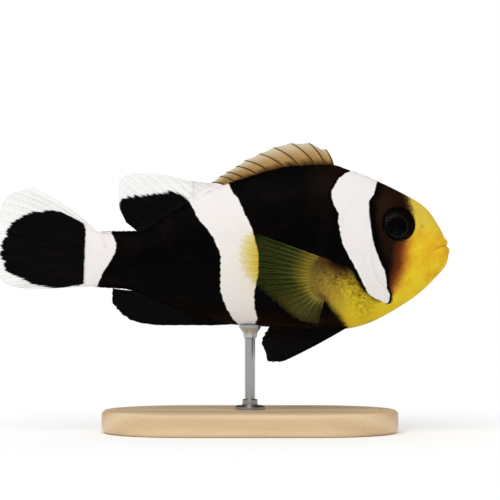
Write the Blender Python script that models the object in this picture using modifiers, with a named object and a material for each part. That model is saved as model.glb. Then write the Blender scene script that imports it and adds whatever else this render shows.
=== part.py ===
"""A saddleback clownfish, Amphiprion polymnus, 80 mm long, held over a flat base by one thin rod.

The fish faces +X and its right side is towards -Y. The origin is the centre of the base's underside,
straight below the rod. Tables are in millimetres: x is forward of the rod, z is above the body axis,
and a distance is measured back from the tip of the snout.
"""

import math

import bmesh
import bpy
import numpy as np
from mathutils import Matrix, Vector

MM = 0.001
AXIS_HEIGHT = 32.0  # the body axis above the floor
SNOUT_X = 34.95
STALK_END_X = -27.2
BODY_LENGTH = SNOUT_X - STALK_END_X
GAP = 0.35  # clearance between neighbouring pieces
GILL_GAP = 0.45  # a little more, where the cut runs aslant
JAW_GAP = (-0.27, 0.24)  # the clearance over the lower jaw, along x and z

BODY_RINGS = 38
BODY_SIDES = 36
RING_CROWDING = 1.55  # rings crowd towards the snout
BACK_POINTEDNESS = 1.15  # over 1 makes the back narrower than an ellipse
BELLY_POINTEDNESS = 1.0

# Distance behind the snout, height above the axis.
BACK_LINE = (
    (0.0, -0.5), (0.4, 1.45), (1.75, 4.2), (3.9, 7.3), (8.65, 10.3), (17.1, 13.9), (21.0, 15.0),
    (26.2, 14.9), (38.6, 11.8), (49.0, 6.6), (54.8, 3.4), (62.2, 3.2),
)
BELLY_LINE = (
    (0.0, -0.5), (0.55, -2.75), (2.25, -4.8), (4.3, -6.9), (7.3, -9.2), (17.0, -13.7), (21.0, -14.2),
    (27.0, -13.7), (36.7, -13.2), (43.7, -11.8), (50.8, -9.2), (57.3, -6.8), (62.2, -6.5),
)
# Distance behind the snout, half of the body's width.
FLANK_LINE = (
    (0.0, 0.0), (0.5, 1.3), (2.0, 2.35), (5.0, 3.35), (9.4, 4.5), (15.0, 5.7), (20.0, 6.15),
    (27.0, 6.05), (35.0, 5.4), (45.0, 3.9), (54.8, 2.3), (62.2, 1.1),
)

# The free edge of the gill cover, from the nape to the throat. The cover itself is cut off by it.
GILL_EDGE = (
    (18.0, 17.5), (18.6, 9.6), (16.7, 6.1), (15.6, 2.1), (15.9, -1.4), (17.5, -4.7), (19.8, -7.7),
    (22.4, -10.3), (23.9, -16.0),
)
GILL_COVER = (
    (21.0, 2.6), (20.6, 8.4), (17.0, 8.4), (14.0, 2.0), (16.0, -8.0), (21.0, -10.6), (24.6, -9.0),
    (23.3, -5.8), (21.7, -2.1), (21.0, 2.6),
)
GILL_COVER_INNER = 2.6  # half of the head's width between the two covers
LOWER_JAW = (
    (37.0, 0.95), (34.2, 0.75), (32.0, -0.5), (30.6, -2.8), (29.0, -5.8), (27.6, -9.4), (27.0, -13.0),
    (37.0, -13.0),
)
STALK_FRONT_X = -19.7

EYE_X = 26.1
EYE_Z = 4.6
EYE_RADIUS = 3.3
EYE_DEPTH = 1.7
EYE_SUNK = 0.75  # the eye's middle is this far inside the head

FIN_THICKNESS = 0.6
FIN_ROWS = 6
# Median fins: key rays from front to back, each (root x, tip x, tip z).
SPINY_DORSAL_RAYS = (
    (14.6, 14.0, 16.8), (13.6, 12.6, 17.7), (11.4, 9.9, 18.8), (8.0, 5.6, 18.5), (4.0, 1.4, 16.9),
    (-0.2, -3.0, 14.4), (-3.6, -6.2, 12.4),
)
SPINE_COUNT = 10
SPINE_NOTCH = 0.93  # the membrane between two spines reaches this share of their length
SOFT_DORSAL_RAYS = (
    (-4.3, -7.6, 12.3), (-7.2, -11.8, 12.6), (-10.2, -16.0, 13.4), (-13.0, -20.4, 13.5),
    (-15.4, -23.0, 11.8), (-17.6, -23.0, 8.4), (-19.2, -21.4, 4.9),
)
ANAL_RAYS = (
    (-2.6, -6.0, -13.0), (-5.6, -10.6, -13.0), (-9.0, -15.6, -13.1), (-12.6, -20.4, -12.5),
    (-15.6, -23.3, -10.7), (-17.8, -24.2, -8.9), (-18.8, -23.7, -7.4),
)
# Tail fin: key rays from top to bottom, each (root z, tip x, tip z).
TAIL_RAYS = (
    (3.2, -38.4, 11.0), (2.2, -42.4, 9.7), (0.7, -44.4, 6.0), (-1.5, -45.0, 0.8), (-3.6, -44.6, -3.2),
    (-5.2, -42.8, -6.0), (-6.2, -39.4, -6.9),
)
# Pelvic fin: key rays from its spine to its inner edge, each (root x, tip x, tip z).
PELVIC_RAYS = (
    (16.2, 7.4, -18.2), (15.6, 4.6, -19.2), (14.8, 2.6, -18.4), (14.0, 2.3, -16.4), (13.2, 3.6, -14.3),
)
PELVIC_ROOT_Y = 1.5
PELVIC_ROOT_DROP = 0.5
PELVIC_SPLAY = 0.55  # sideways per millimetre down
# Pectoral fin: key rays from its upper edge to its lower one, each (root x, root z, tip x, tip z).
PECTORAL_RAYS = (
    (12.9, -2.2, 0.7, 3.1), (12.1, -3.4, -1.7, 1.2), (11.6, -4.9, -2.2, -2.6), (11.4, -6.3, -0.6, -6.6),
    (11.7, -7.7, 3.2, -9.9), (12.2, -8.8, 6.6, -12.2), (12.9, -9.7, 9.6, -13.2),
)
PECTORAL_ANGLE = 17.0  # degrees that the fin stands out from the flank
FIN_WAVE = 0.35  # how far a median fin sways out of the mid-plane

BASE_LENGTH = 52.0
BASE_WIDTH = 30.0
BASE_HEIGHT = 4.0
BASE_CORNER = 14.9
BASE_EDGE = 0.6
ROD_RADIUS = 0.9
ROD_FOOT_Z = 1.5  # the rod is set this high in the base
ROD_IN_BODY = 6.0

COLOURS = {
    "black_skin": (0.012, 0.008, 0.007),
    "yellow_skin": (0.72, 0.46, 0.04),
    "white_skin": (0.84, 0.81, 0.80),
    "black_fin": (0.010, 0.008, 0.006),
    "tan_fin": (0.42, 0.30, 0.18),
    "olive_fin": (0.20, 0.24, 0.06),
    "eye": (0.006, 0.005, 0.005),
    "stand_wood": (0.70, 0.60, 0.47),
    "stand_steel": (0.55, 0.55, 0.56),
}


def smooth_curve(keys, values):
    """A function through the points, with rounded slopes and no overshoot."""
    keys, values = np.array(keys, float), np.array(values, float)
    step = np.diff(keys)
    slope = np.diff(values) / step
    tangent = np.zeros(len(keys))
    same_way = slope[1:] * slope[:-1] > 0
    both = step[1:] + step[:-1]
    before, after = both + step[1:], both + step[:-1]
    safe = np.where(same_way, slope[1:] * slope[:-1], 1.0)
    mean = (before + after) * safe / (before * slope[1:] + after * slope[:-1] + 1e-12 * ~same_way)
    tangent[1:-1] = np.where(same_way, mean, 0.0)
    tangent[0], tangent[-1] = slope[0], slope[-1]

    def value_at(key):
        i = int(np.clip(np.searchsorted(keys, key) - 1, 0, len(step) - 1))
        t = (key - keys[i]) / step[i]
        rise = values[i + 1] - values[i]
        near = tangent[i] * step[i]
        far = tangent[i + 1] * step[i]
        return values[i] + near * t + (3 * rise - 2 * near - far) * t**2 + (near + far - 2 * rise) * t**3

    return value_at


def body_line(table):
    """A body line as a function of x. It runs over the root of the distance, which rounds the snout."""
    curve = smooth_curve([math.sqrt(distance) for distance, _ in table], [value for _, value in table])
    return lambda x: curve(math.sqrt(max(SNOUT_X - x, 0.0)))


back_z = body_line(BACK_LINE)
belly_z = body_line(BELLY_LINE)
flank_y = body_line(FLANK_LINE)


def half_width(x, z):
    """Half of the body's width at a point of its side view."""
    middle = (back_z(x) + belly_z(x)) / 2
    reach = (back_z(x) - belly_z(x)) / 2
    share = min(abs(z - middle) / reach, 1.0)
    power = BACK_POINTEDNESS if z > middle else BELLY_POINTEDNESS
    return flank_y(x) * (1 - share**2) ** (power / 2)


def placed(x, y, z):
    """A point of the fish, in metres above the floor."""
    return Vector((x, y, z + AXIS_HEIGHT)) * MM


def material(name):
    made = bpy.data.materials.new(name)
    made.use_nodes = True
    shader = made.node_tree.nodes["Principled BSDF"]
    shader.inputs["Base Color"].default_value = (*COLOURS[name], 1.0)
    shader.inputs["Roughness"].default_value = 0.25 if name in ("eye", "stand_steel") else 0.5
    shader.inputs["Metallic"].default_value = 1.0 if name == "stand_steel" else 0.0
    return made


def add_object(name, mesh, collection, colour=None):
    made = bpy.data.objects.new(name, mesh)
    collection.objects.link(made)
    if colour:
        mesh.materials.append(bpy.data.materials.get(colour) or material(colour))
    return made


def hide_cutter(cutter):
    cutter.hide_render = True
    cutter.display_type = "WIRE"
    return cutter


def add_boolean(target, cutter, operation):
    modifier = target.modifiers.new(f"{operation.lower()} {cutter.name}", "BOOLEAN")
    modifier.operation = operation
    modifier.object = cutter
    modifier.solver = "EXACT"


def body_mesh():
    """The whole body as a loft of ovals from the snout to the end of the tail stalk."""
    bm = bmesh.new()
    rings = []
    snout = bm.verts.new(placed(SNOUT_X, 0, back_z(SNOUT_X)))
    for i in range(1, BODY_RINGS + 1):
        x = SNOUT_X - BODY_LENGTH * (i / BODY_RINGS) ** RING_CROWDING
        middle = (back_z(x) + belly_z(x)) / 2
        reach = (back_z(x) - belly_z(x)) / 2
        ring = []
        for k in range(BODY_SIDES):
            angle = 2 * math.pi * k / BODY_SIDES
            z = middle + reach * math.cos(angle)
            side = 0.0 if k in (0, BODY_SIDES // 2) else math.copysign(1.0, math.sin(angle))
            ring.append(bm.verts.new(placed(x, side * half_width(x, z), z)))
        rings.append(ring)
    for k in range(BODY_SIDES):
        after = (k + 1) % BODY_SIDES
        bm.faces.new((snout, rings[0][after], rings[0][k]))
        for front, rear in zip(rings, rings[1:]):
            bm.faces.new((front[k], front[after], rear[after], rear[k]))
    bm.faces.new(rings[-1])
    bmesh.ops.recalc_face_normals(bm, faces=bm.faces)
    mesh = bpy.data.meshes.new("whole_body")
    bm.to_mesh(mesh)
    bm.free()
    return mesh


def side_view_block(name, outline, y_low, y_high, cutters, moved=(0.0, 0.0)):
    """A cutter with a smooth side-view outline, from one y to another."""
    curve = bpy.data.curves.new(name, "CURVE")
    curve.dimensions = "2D"
    curve.fill_mode = "BOTH"
    curve.extrude = (y_high - y_low) / 2 * MM
    spline = curve.splines.new("POLY")
    spline.points.add(len(outline) - 1)
    for point, (x, z) in zip(spline.points, outline):
        point.co = ((x + moved[0]) * MM, (z + moved[1] + AXIS_HEIGHT) * MM, 0, 1)
    spline.use_cyclic_u = True
    flat = bpy.data.objects.new(name + "_curve", curve)
    cutters.objects.link(flat)
    flat.matrix_world = Matrix.Translation((0, (y_low + y_high) / 2 * MM, 0)) @ Matrix.Rotation(
        math.pi / 2, 4, "X"
    )
    bpy.context.view_layer.update()
    graph = bpy.context.evaluated_depsgraph_get()
    mesh = bpy.data.meshes.new_from_object(flat.evaluated_get(graph))
    mesh.transform(flat.matrix_world)
    bpy.data.objects.remove(flat)
    bm = bmesh.new()
    bm.from_mesh(mesh)
    bmesh.ops.remove_doubles(bm, verts=bm.verts, dist=1e-6)
    bmesh.ops.recalc_face_normals(bm, faces=bm.faces)
    bm.to_mesh(mesh)
    bm.free()
    return hide_cutter(add_object(name, mesh, cutters))


def rounded(points, steps=3):
    """An open line through the points, with each stretch bent into a smooth curve."""
    x_of = smooth_curve(range(len(points)), [x for x, _ in points])
    z_of = smooth_curve(range(len(points)), [z for _, z in points])
    count = (len(points) - 1) * steps
    return [(x_of(i / steps), z_of(i / steps)) for i in range(count + 1)]


def make_zones(cutters):
    """The cutters that part the body: thin clearances lie between the zones."""
    wide = 12.0
    edge = rounded(GILL_EDGE)
    front_box = [(40.0, GILL_EDGE[-1][1]), (40.0, GILL_EDGE[0][1])]
    cover = rounded(GILL_COVER)[:-1]
    middle = np.mean(GILL_COVER, axis=0)
    grown = []
    for x, z in cover:
        away = np.array((x, z)) - middle
        grown.append(np.array((x, z)) + away / np.linalg.norm(away) * GILL_GAP)
    zones = {
        "head": side_view_block("head_zone", edge + front_box, -wide, wide, cutters),
        "head_clear": side_view_block(
            "head_clearance", edge + front_box, -wide - 1, wide + 1, cutters, moved=(-GILL_GAP, 0)
        ),
        "jaw": side_view_block("jaw_zone", LOWER_JAW, -wide, wide, cutters),
        "jaw_clear": side_view_block(
            "jaw_clearance", LOWER_JAW, -wide - 1, wide + 1, cutters, moved=JAW_GAP
        ),
    }
    for side, sign in (("right", -1), ("left", 1)):
        inner, outer = sorted((sign * GILL_COVER_INNER, sign * wide))
        zones["cover_" + side] = side_view_block(f"cover_zone_{side}", cover, inner, outer, cutters)
        inner, outer = sorted((sign * (GILL_COVER_INNER - GAP), sign * (wide + 1)))
        zones["cover_clear_" + side] = side_view_block(
            f"cover_clearance_{side}", grown, inner, outer, cutters
        )
    stalk = [(-40.0, -17.0), (STALK_FRONT_X, -17.0), (STALK_FRONT_X, 17.0), (-40.0, 17.0)]
    zones["stalk"] = side_view_block("stalk_zone", stalk, -wide, wide, cutters)
    zones["stalk_clear"] = side_view_block(
        "stalk_clearance", stalk, -wide - 1, wide + 1, cutters, moved=(GAP, 0)
    )
    return zones


def eye_frame(sign):
    """Where an eye sits and how it faces: along the head's own surface normal."""
    x, z, step = EYE_X, EYE_Z, 0.5
    across = half_width(x, z)
    slope_x = (half_width(x + step, z) - half_width(x - step, z)) / (2 * step)
    slope_z = (half_width(x, z + step) - half_width(x, z - step)) / (2 * step)
    out = Vector((-slope_x, sign, -slope_z)).normalized()
    middle = Vector((x, sign * across, z)) - out * EYE_SUNK
    return placed(*middle), out.to_track_quat("Y" if sign > 0 else "-Y", "Z")


def eyeball(name, sign, growth, collection, colour=None):
    bm = bmesh.new()
    bmesh.ops.create_uvsphere(bm, u_segments=20, v_segments=14, radius=1.0)
    centre, turn = eye_frame(sign)
    size = Matrix.Diagonal(
        ((EYE_RADIUS + growth) * MM, (EYE_DEPTH + growth) * MM, (EYE_RADIUS + growth) * MM, 1)
    )
    upright = Matrix.Rotation(math.pi / 2, 4, "X")
    bmesh.ops.transform(
        bm, matrix=Matrix.Translation(centre) @ turn.to_matrix().to_4x4() @ size @ upright, verts=bm.verts
    )
    mesh = bpy.data.meshes.new(name)
    bm.to_mesh(mesh)
    bm.free()
    return add_object(name, mesh, collection, colour)


def rod_mesh(name, radius, low, high):
    bm = bmesh.new()
    bmesh.ops.create_cone(
        bm, cap_ends=True, segments=24, radius1=radius * MM, radius2=radius * MM, depth=(high - low) * MM
    )
    bmesh.ops.translate(bm, verts=bm.verts, vec=(0, 0, (low + high) / 2 * MM))
    mesh = bpy.data.meshes.new(name)
    bm.to_mesh(mesh)
    bm.free()
    return mesh


def rod_top():
    return AXIS_HEIGHT + belly_z(0.0) + ROD_IN_BODY


def make_body(fish, cutters):
    """The body's pieces, each the whole body cut down to its own zone."""
    zones = make_zones(cutters)
    mesh = body_mesh()
    rod_hole = hide_cutter(
        add_object("rod_hole", rod_mesh("rod_hole", ROD_RADIUS + GAP, 0.0, rod_top() + GAP), cutters)
    )
    sockets = [
        hide_cutter(eyeball("socket_" + side, sign, GAP, cutters))
        for side, sign in (("right", -1), ("left", 1))
    ]
    plan = {
        "head": (
            "yellow_skin",
            [zones["head"]],
            [zones["jaw_clear"], zones["cover_clear_right"], zones["cover_clear_left"], *sockets],
        ),
        "lower_jaw": ("yellow_skin", [zones["jaw"]], []),
        "gill_cover_right": ("white_skin", [zones["head"], zones["cover_right"]], []),
        "gill_cover_left": ("white_skin", [zones["head"], zones["cover_left"]], []),
        "trunk": ("black_skin", [], [zones["head_clear"], zones["stalk_clear"], rod_hole]),
        "tail_stalk": ("black_skin", [zones["stalk"]], []),
    }
    for name, (colour, kept, removed) in plan.items():
        piece = add_object(name, mesh.copy(), fish, colour)
        for zone in kept:
            add_boolean(piece, zone, "INTERSECT")
        for zone in removed:
            add_boolean(piece, zone, "DIFFERENCE")


def fin_blade(name, roots, tips, columns, fish, colour, bow=(0.0, 0.0), margin=None):
    """A fin as a sheet of rays between two smooth lines, with an even thickness.

    bow bends the rays in the side view, by one amount for the first ray and another for the last.
    margin shortens single rays: it takes a column's number and gives a share of its length."""
    count = len(roots)
    lines = []
    for line in (roots, tips):
        lines.append([smooth_curve(range(count), [point[axis] for point in line]) for axis in range(3)])
    bm = bmesh.new()
    grid = []
    for i in range(columns):
        at = i * (count - 1) / (columns - 1)
        root, tip = (Vector([axis(at) for axis in line]) for line in lines)
        reach = (tip - root) * (margin(i) if margin else 1.0)
        droop = Vector((-reach.z, 0, reach.x)) * (bow[0] + (bow[1] - bow[0]) * i / (columns - 1))
        column = []
        for k in range(FIN_ROWS):
            share = k / (FIN_ROWS - 1)
            column.append(bm.verts.new(placed(*(root + reach * share + droop * share * (1 - share)))))
        grid.append(column)
    for near, far in zip(grid, grid[1:]):
        for k in range(FIN_ROWS - 1):
            bm.faces.new((near[k], near[k + 1], far[k + 1], far[k]))
    mesh = bpy.data.meshes.new(name)
    bm.to_mesh(mesh)
    bm.free()
    fin = add_object(name, mesh, fish, colour)
    solid = fin.modifiers.new("thickness", "SOLIDIFY")
    solid.thickness = FIN_THICKNESS * MM
    solid.offset = 0.0
    solid.use_even_offset = True
    return fin


def sway(x):
    """The gentle wave of the median fins' outer edges, out of the mid-plane."""
    return FIN_WAVE * math.sin(x / 4.0)


def make_median_fins(fish):
    lift = GAP + 0.05

    def spine_margin(i):
        return SPINE_NOTCH if i % 2 else 1.0

    fin_blade(
        "dorsal_fin_spiny",
        [(x, 0, back_z(x) + lift) for x, _, _ in SPINY_DORSAL_RAYS],
        [(x, sway(x), z) for _, x, z in SPINY_DORSAL_RAYS],
        2 * SPINE_COUNT + 1,
        fish,
        "tan_fin",
        bow=(-0.06, -0.06),
        margin=spine_margin,
    )
    fin_blade(
        "dorsal_fin_soft",
        [(x, 0, back_z(x) + lift) for x, _, _ in SOFT_DORSAL_RAYS],
        [(x, sway(x), z) for _, x, z in SOFT_DORSAL_RAYS],
        17,
        fish,
        "black_fin",
        bow=(-0.05, -0.05),
    )
    fin_blade(
        "anal_fin",
        [(x, 0, belly_z(x) - lift) for x, _, _ in ANAL_RAYS],
        [(x, sway(x), z) for _, x, z in ANAL_RAYS],
        17,
        fish,
        "black_fin",
        bow=(0.05, 0.05),
    )
    fin_blade(
        "tail_fin",
        [(STALK_END_X - lift, 0, z) for z, _, _ in TAIL_RAYS],
        [(x, 2 * sway(z), z) for _, x, z in TAIL_RAYS],
        19,
        fish,
        "black_fin",
        bow=(-0.2, 0.0),
    )


def make_paired_fins(fish):
    for side, sign in (("right", -1), ("left", 1)):
        roots, tips = [], []
        for root_x, tip_x, tip_z in PELVIC_RAYS:
            root_z = belly_z(root_x) - PELVIC_ROOT_DROP
            tip_y = PELVIC_ROOT_Y + max(root_z - tip_z, 0.0) * PELVIC_SPLAY
            roots.append((root_x, sign * PELVIC_ROOT_Y, root_z))
            tips.append((tip_x, sign * tip_y, tip_z))
        fin_blade(f"pelvic_fin_{side}", roots, tips, 9, fish, "black_fin", bow=(0.06, 0.0))
        roots, tips = [], []
        for root_x, root_z, tip_x, tip_z in PECTORAL_RAYS:
            root_y = half_width(root_x, root_z) + GAP + FIN_THICKNESS / 2 + 0.1
            length = math.hypot(tip_x - root_x, tip_z - root_z)
            tip_y = root_y + length * math.tan(math.radians(PECTORAL_ANGLE)) - 0.08 * length
            roots.append((root_x, sign * root_y, root_z))
            tips.append((tip_x, sign * tip_y, tip_z))
        fin_blade(f"pectoral_fin_{side}", roots, tips, 17, fish, "olive_fin")


def make_eyes(fish):
    for side, sign in (("right", -1), ("left", 1)):
        eyeball("eye_" + side, sign, 0.0, fish, "eye")


def make_stand(fish, cutters):
    """A flat base with rounded corners, and a rod that is let into it and into the belly."""
    bm = bmesh.new()
    bmesh.ops.create_cube(bm, size=1.0)
    bmesh.ops.scale(bm, verts=bm.verts, vec=(BASE_LENGTH * MM, BASE_WIDTH * MM, BASE_HEIGHT * MM))
    bmesh.ops.translate(bm, verts=bm.verts, vec=(0, 0, BASE_HEIGHT / 2 * MM))
    upright = [e for e in bm.edges if abs(e.verts[0].co.z - e.verts[1].co.z) > MM]
    bmesh.ops.bevel(
        bm, geom=upright, offset=BASE_CORNER * MM, segments=6, profile=0.5, affect="EDGES",
        clamp_overlap=False,
    )
    rim = [e for e in bm.edges if all(v.co.z > (BASE_HEIGHT - 0.01) * MM for v in e.verts)]
    bmesh.ops.bevel(bm, geom=rim, offset=BASE_EDGE * MM, segments=2, profile=0.5, affect="EDGES")
    mesh = bpy.data.meshes.new("stand_base")
    bm.to_mesh(mesh)
    bm.free()
    base = add_object("stand_base", mesh, fish, "stand_wood")
    hole = rod_mesh("base_hole", ROD_RADIUS + GAP, ROD_FOOT_Z - GAP, BASE_HEIGHT + 5)
    add_boolean(base, hide_cutter(add_object("base_hole", hole, cutters)), "DIFFERENCE")
    add_object("stand_rod", rod_mesh("stand_rod", ROD_RADIUS, ROD_FOOT_Z, rod_top()), fish, "stand_steel")


def main():
    for old in list(bpy.data.objects):
        bpy.data.objects.remove(old)
    fish = bpy.data.collections.new("clownfish")
    cutters = bpy.data.collections.new("cutters")
    for collection in (fish, cutters):
        bpy.context.scene.collection.children.link(collection)
    make_body(fish, cutters)
    make_median_fins(fish)
    make_paired_fins(fish)
    make_eyes(fish)
    make_stand(fish, cutters)


main()
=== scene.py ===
# %% [markdown]
# # A saddleback clownfish on a museum stand
#
# The fish is a solid model already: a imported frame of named, exact pieces. This lesson dresses that frame.
# One skin covers the flesh, thousands of scales lie on the skin, and thin rayed fins take the place of the
# thick ones. Everything is in metres in the frame's own space, so nothing is ever fitted afterwards.

import math

import bmesh
import bpy
import numpy as np
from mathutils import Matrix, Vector


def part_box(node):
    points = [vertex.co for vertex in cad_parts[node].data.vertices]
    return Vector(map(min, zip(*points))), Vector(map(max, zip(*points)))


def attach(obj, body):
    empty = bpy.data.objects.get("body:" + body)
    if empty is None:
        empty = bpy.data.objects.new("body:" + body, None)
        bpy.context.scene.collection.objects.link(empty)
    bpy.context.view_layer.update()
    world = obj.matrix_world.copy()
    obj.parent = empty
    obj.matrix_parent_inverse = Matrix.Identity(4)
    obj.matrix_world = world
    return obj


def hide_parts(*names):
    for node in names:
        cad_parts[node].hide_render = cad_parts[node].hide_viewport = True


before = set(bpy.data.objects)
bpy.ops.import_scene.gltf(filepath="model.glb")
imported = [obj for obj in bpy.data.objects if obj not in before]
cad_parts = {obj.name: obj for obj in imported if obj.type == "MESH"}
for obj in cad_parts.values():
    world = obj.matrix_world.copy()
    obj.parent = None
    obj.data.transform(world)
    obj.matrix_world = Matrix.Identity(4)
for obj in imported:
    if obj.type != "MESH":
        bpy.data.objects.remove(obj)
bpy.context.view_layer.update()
print("nodes:", sorted(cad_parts))

# %% [markdown]
# ## Where the fish is
#
# The shape tables below are in millimetres about the body's axis. Only three numbers tie them to the frame:
# how far forward the snout reaches, where the tail stalk ends and how high the axis is. All three are read
# from the frame's boxes, so a frame moved on its stand would carry the skin with it.

# %% Place the body's axis
MM = 0.001
BACK_TOP = 15.0  # the back's highest point above the axis

SNOUT_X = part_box("lower_jaw")[1].x / MM
STALK_END_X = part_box("tail_stalk")[0].x / MM
BODY_LENGTH = SNOUT_X - STALK_END_X
AXIS_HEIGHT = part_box("trunk")[1].z / MM - BACK_TOP


def to_frame(points):
    """Points in millimetres about the axis, as metres above the floor."""
    return (np.asarray(points, float) + (0.0, 0.0, AXIS_HEIGHT)) * MM


print(f"snout at {SNOUT_X:.2f}, stalk ends at {STALK_END_X:.2f}, axis {AXIS_HEIGHT:.2f} mm up")

# %% [markdown]
# ## The body's three lines
#
# A fish's body is told well by three lines: its back, its belly and the breadth of its flank. They could be
# drawn as Bezier curves, but a function that can be asked for any point is handier, because the skin, the
# scales and the fin roots all need it. Each line passes through a few stations and never overshoots them.
# Its stations are spaced by the root of the distance from the snout, which makes the snout blunt.

# %% Draw the body's lines
BACK_LINE = (
    (0.0, -0.5), (0.4, 1.45), (1.75, 4.2), (3.9, 7.3), (8.65, 10.3), (17.1, 13.9), (21.0, BACK_TOP),
    (26.2, 14.9), (38.6, 11.8), (49.0, 6.6), (54.8, 3.4), (62.2, 3.2),
)
BELLY_LINE = (
    (0.0, -0.5), (0.55, -2.75), (2.25, -4.8), (4.3, -6.9), (7.3, -9.2), (17.0, -13.7), (21.0, -14.2),
    (27.0, -13.7), (36.7, -13.2), (43.7, -11.8), (50.8, -9.2), (57.3, -6.8), (62.2, -6.5),
)
FLANK_LINE = (
    (0.0, 0.0), (0.5, 1.3), (2.0, 2.35), (5.0, 3.35), (9.4, 4.5), (15.0, 5.7), (20.0, 6.15),
    (27.0, 6.05), (35.0, 5.4), (45.0, 3.9), (54.8, 2.3), (62.2, 1.1),
)
BACK_POINTEDNESS = 1.15
BELLY_POINTEDNESS = 1.0


def smooth_curve(keys, values):
    """A function through the points, with rounded slopes and no overshoot."""
    keys, values = np.array(keys, float), np.array(values, float)
    step = np.diff(keys)
    slope = np.diff(values) / step
    product = slope[1:] * slope[:-1]
    before, after = 2 * step[1:] + step[:-1], step[1:] + 2 * step[:-1]
    same_way = product > 0
    divisor = np.where(same_way, before * slope[1:] + after * slope[:-1], 1.0)
    tangent = np.concatenate(
        (slope[:1], np.where(same_way, (before + after) * product / divisor, 0.0), slope[-1:])
    )

    def value_at(key):
        key = np.clip(key, keys[0], keys[-1])
        i = np.clip(np.searchsorted(keys, key) - 1, 0, len(step) - 1)
        t = (key - keys[i]) / step[i]
        rise = values[i + 1] - values[i]
        near, far = tangent[i] * step[i], tangent[i + 1] * step[i]
        return values[i] + near * t + (3 * rise - 2 * near - far) * t**2 + (near + far - 2 * rise) * t**3

    return value_at


def body_line(table):
    """A line of the body as a function of x."""
    curve = smooth_curve([math.sqrt(distance) for distance, _ in table], [value for _, value in table])
    return lambda x: curve(np.sqrt(np.maximum(SNOUT_X - np.asarray(x, float), 0.0)))


back_z, belly_z, flank_y = body_line(BACK_LINE), body_line(BELLY_LINE), body_line(FLANK_LINE)


def half_width(x, z):
    """Half of the body's width at points of its side view."""
    middle, reach = (back_z(x) + belly_z(x)) / 2, (back_z(x) - belly_z(x)) / 2
    share = np.clip(np.abs(z - middle) / np.maximum(reach, 1e-6), 0.0, 1.0)
    power = np.where(z > middle, BACK_POINTEDNESS, BELLY_POINTEDNESS)
    return flank_y(x) * (1 - share**2) ** (power / 2)


print(f"deepest {back_z(14.0) - belly_z(14.0):.1f} mm, widest {2 * flank_y(14.0):.1f} mm")

# %% [markdown]
# ## Writing a material as arithmetic
#
# Every finish here is a sum of small patterns, which is clumsy to wire up node by node. Two helpers make
# it readable. A `Value` is one number inside a material, and Python's own operators on it add the Math
# nodes. A `Paint` is the material being made, and its `node` method adds any other node in one call.
# `add_node` does the work for both, and later for the trees that grow scales and rays.

# %% Values and paints
def draw_curve(node, stops):
    """Draws a Float Curve through (key, result) stops, level beyond both ends."""
    curve = node.mapping.curves[0]
    for place in stops[1:-1]:
        curve.points.new(*place)
    for point, place in zip(curve.points, stops):
        point.location = place
        point.handle_type = "AUTO_CLAMPED"
    node.mapping.extend = "HORIZONTAL"
    node.mapping.update()


def add_node(tree, kind, settings=None, inputs=None):
    """Adds a node to a tree: its settings come first, then the values or links of its sockets."""
    node = tree.nodes.new(kind)
    for name, setting in (settings or {}).items():
        if name == "stops":
            draw_curve(node, setting)
        else:
            setattr(node, name, setting)
    for key, given in (inputs or {}).items():
        given = given.socket if isinstance(given, Value) else given
        if isinstance(given, bpy.types.NodeSocket):
            tree.links.new(given, node.inputs[key])
        else:
            node.inputs[key].default_value = given
    return node


class Value:
    """A number inside a material. Arithmetic on it adds Math nodes."""

    def __init__(self, paint, socket):
        self.paint, self.socket = paint, socket

    def maths(self, operation, *others):
        node = self.paint.node("ShaderNodeMath", {"operation": operation}, dict(enumerate((self, *others))))
        return Value(self.paint, node.outputs[0])

    def __add__(self, other):
        return self.maths("ADD", other)

    def __sub__(self, other):
        return self.maths("SUBTRACT", other)

    def __mul__(self, other):
        return self.maths("MULTIPLY", other)

    def __truediv__(self, other):
        return self.maths("DIVIDE", other)

    def __rsub__(self, other):
        return self * -1 + other

    __radd__, __rmul__ = __add__, __mul__

    def least(self, other):
        return self.maths("MINIMUM", other)

    def most(self, other):
        return self.maths("MAXIMUM", other)

    def size(self):
        return self.maths("ABSOLUTE")

    def rise(self, low, high):
        """0 up to low, 1 from high on, and a smooth slope between them."""
        node = self.paint.node(
            "ShaderNodeMapRange",
            {"interpolation_type": "SMOOTHSTEP"},
            {"Value": self, "From Min": low, "From Max": high},
        )
        return Value(self.paint, node.outputs["Result"])

    def through(self, points, low, high):
        """Looks the value up on a curve through (key, result) points. Results lie from low to high."""
        first, last = points[0][0], points[-1][0]
        stops = [((key - first) / (last - first), (result - low) / (high - low)) for key, result in points]
        node = self.paint.node(
            "ShaderNodeFloatCurve", {"stops": stops}, {"Value": (self - first) / (last - first)}
        )
        return Value(self.paint, node.outputs[0]) * (high - low) + low


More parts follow.
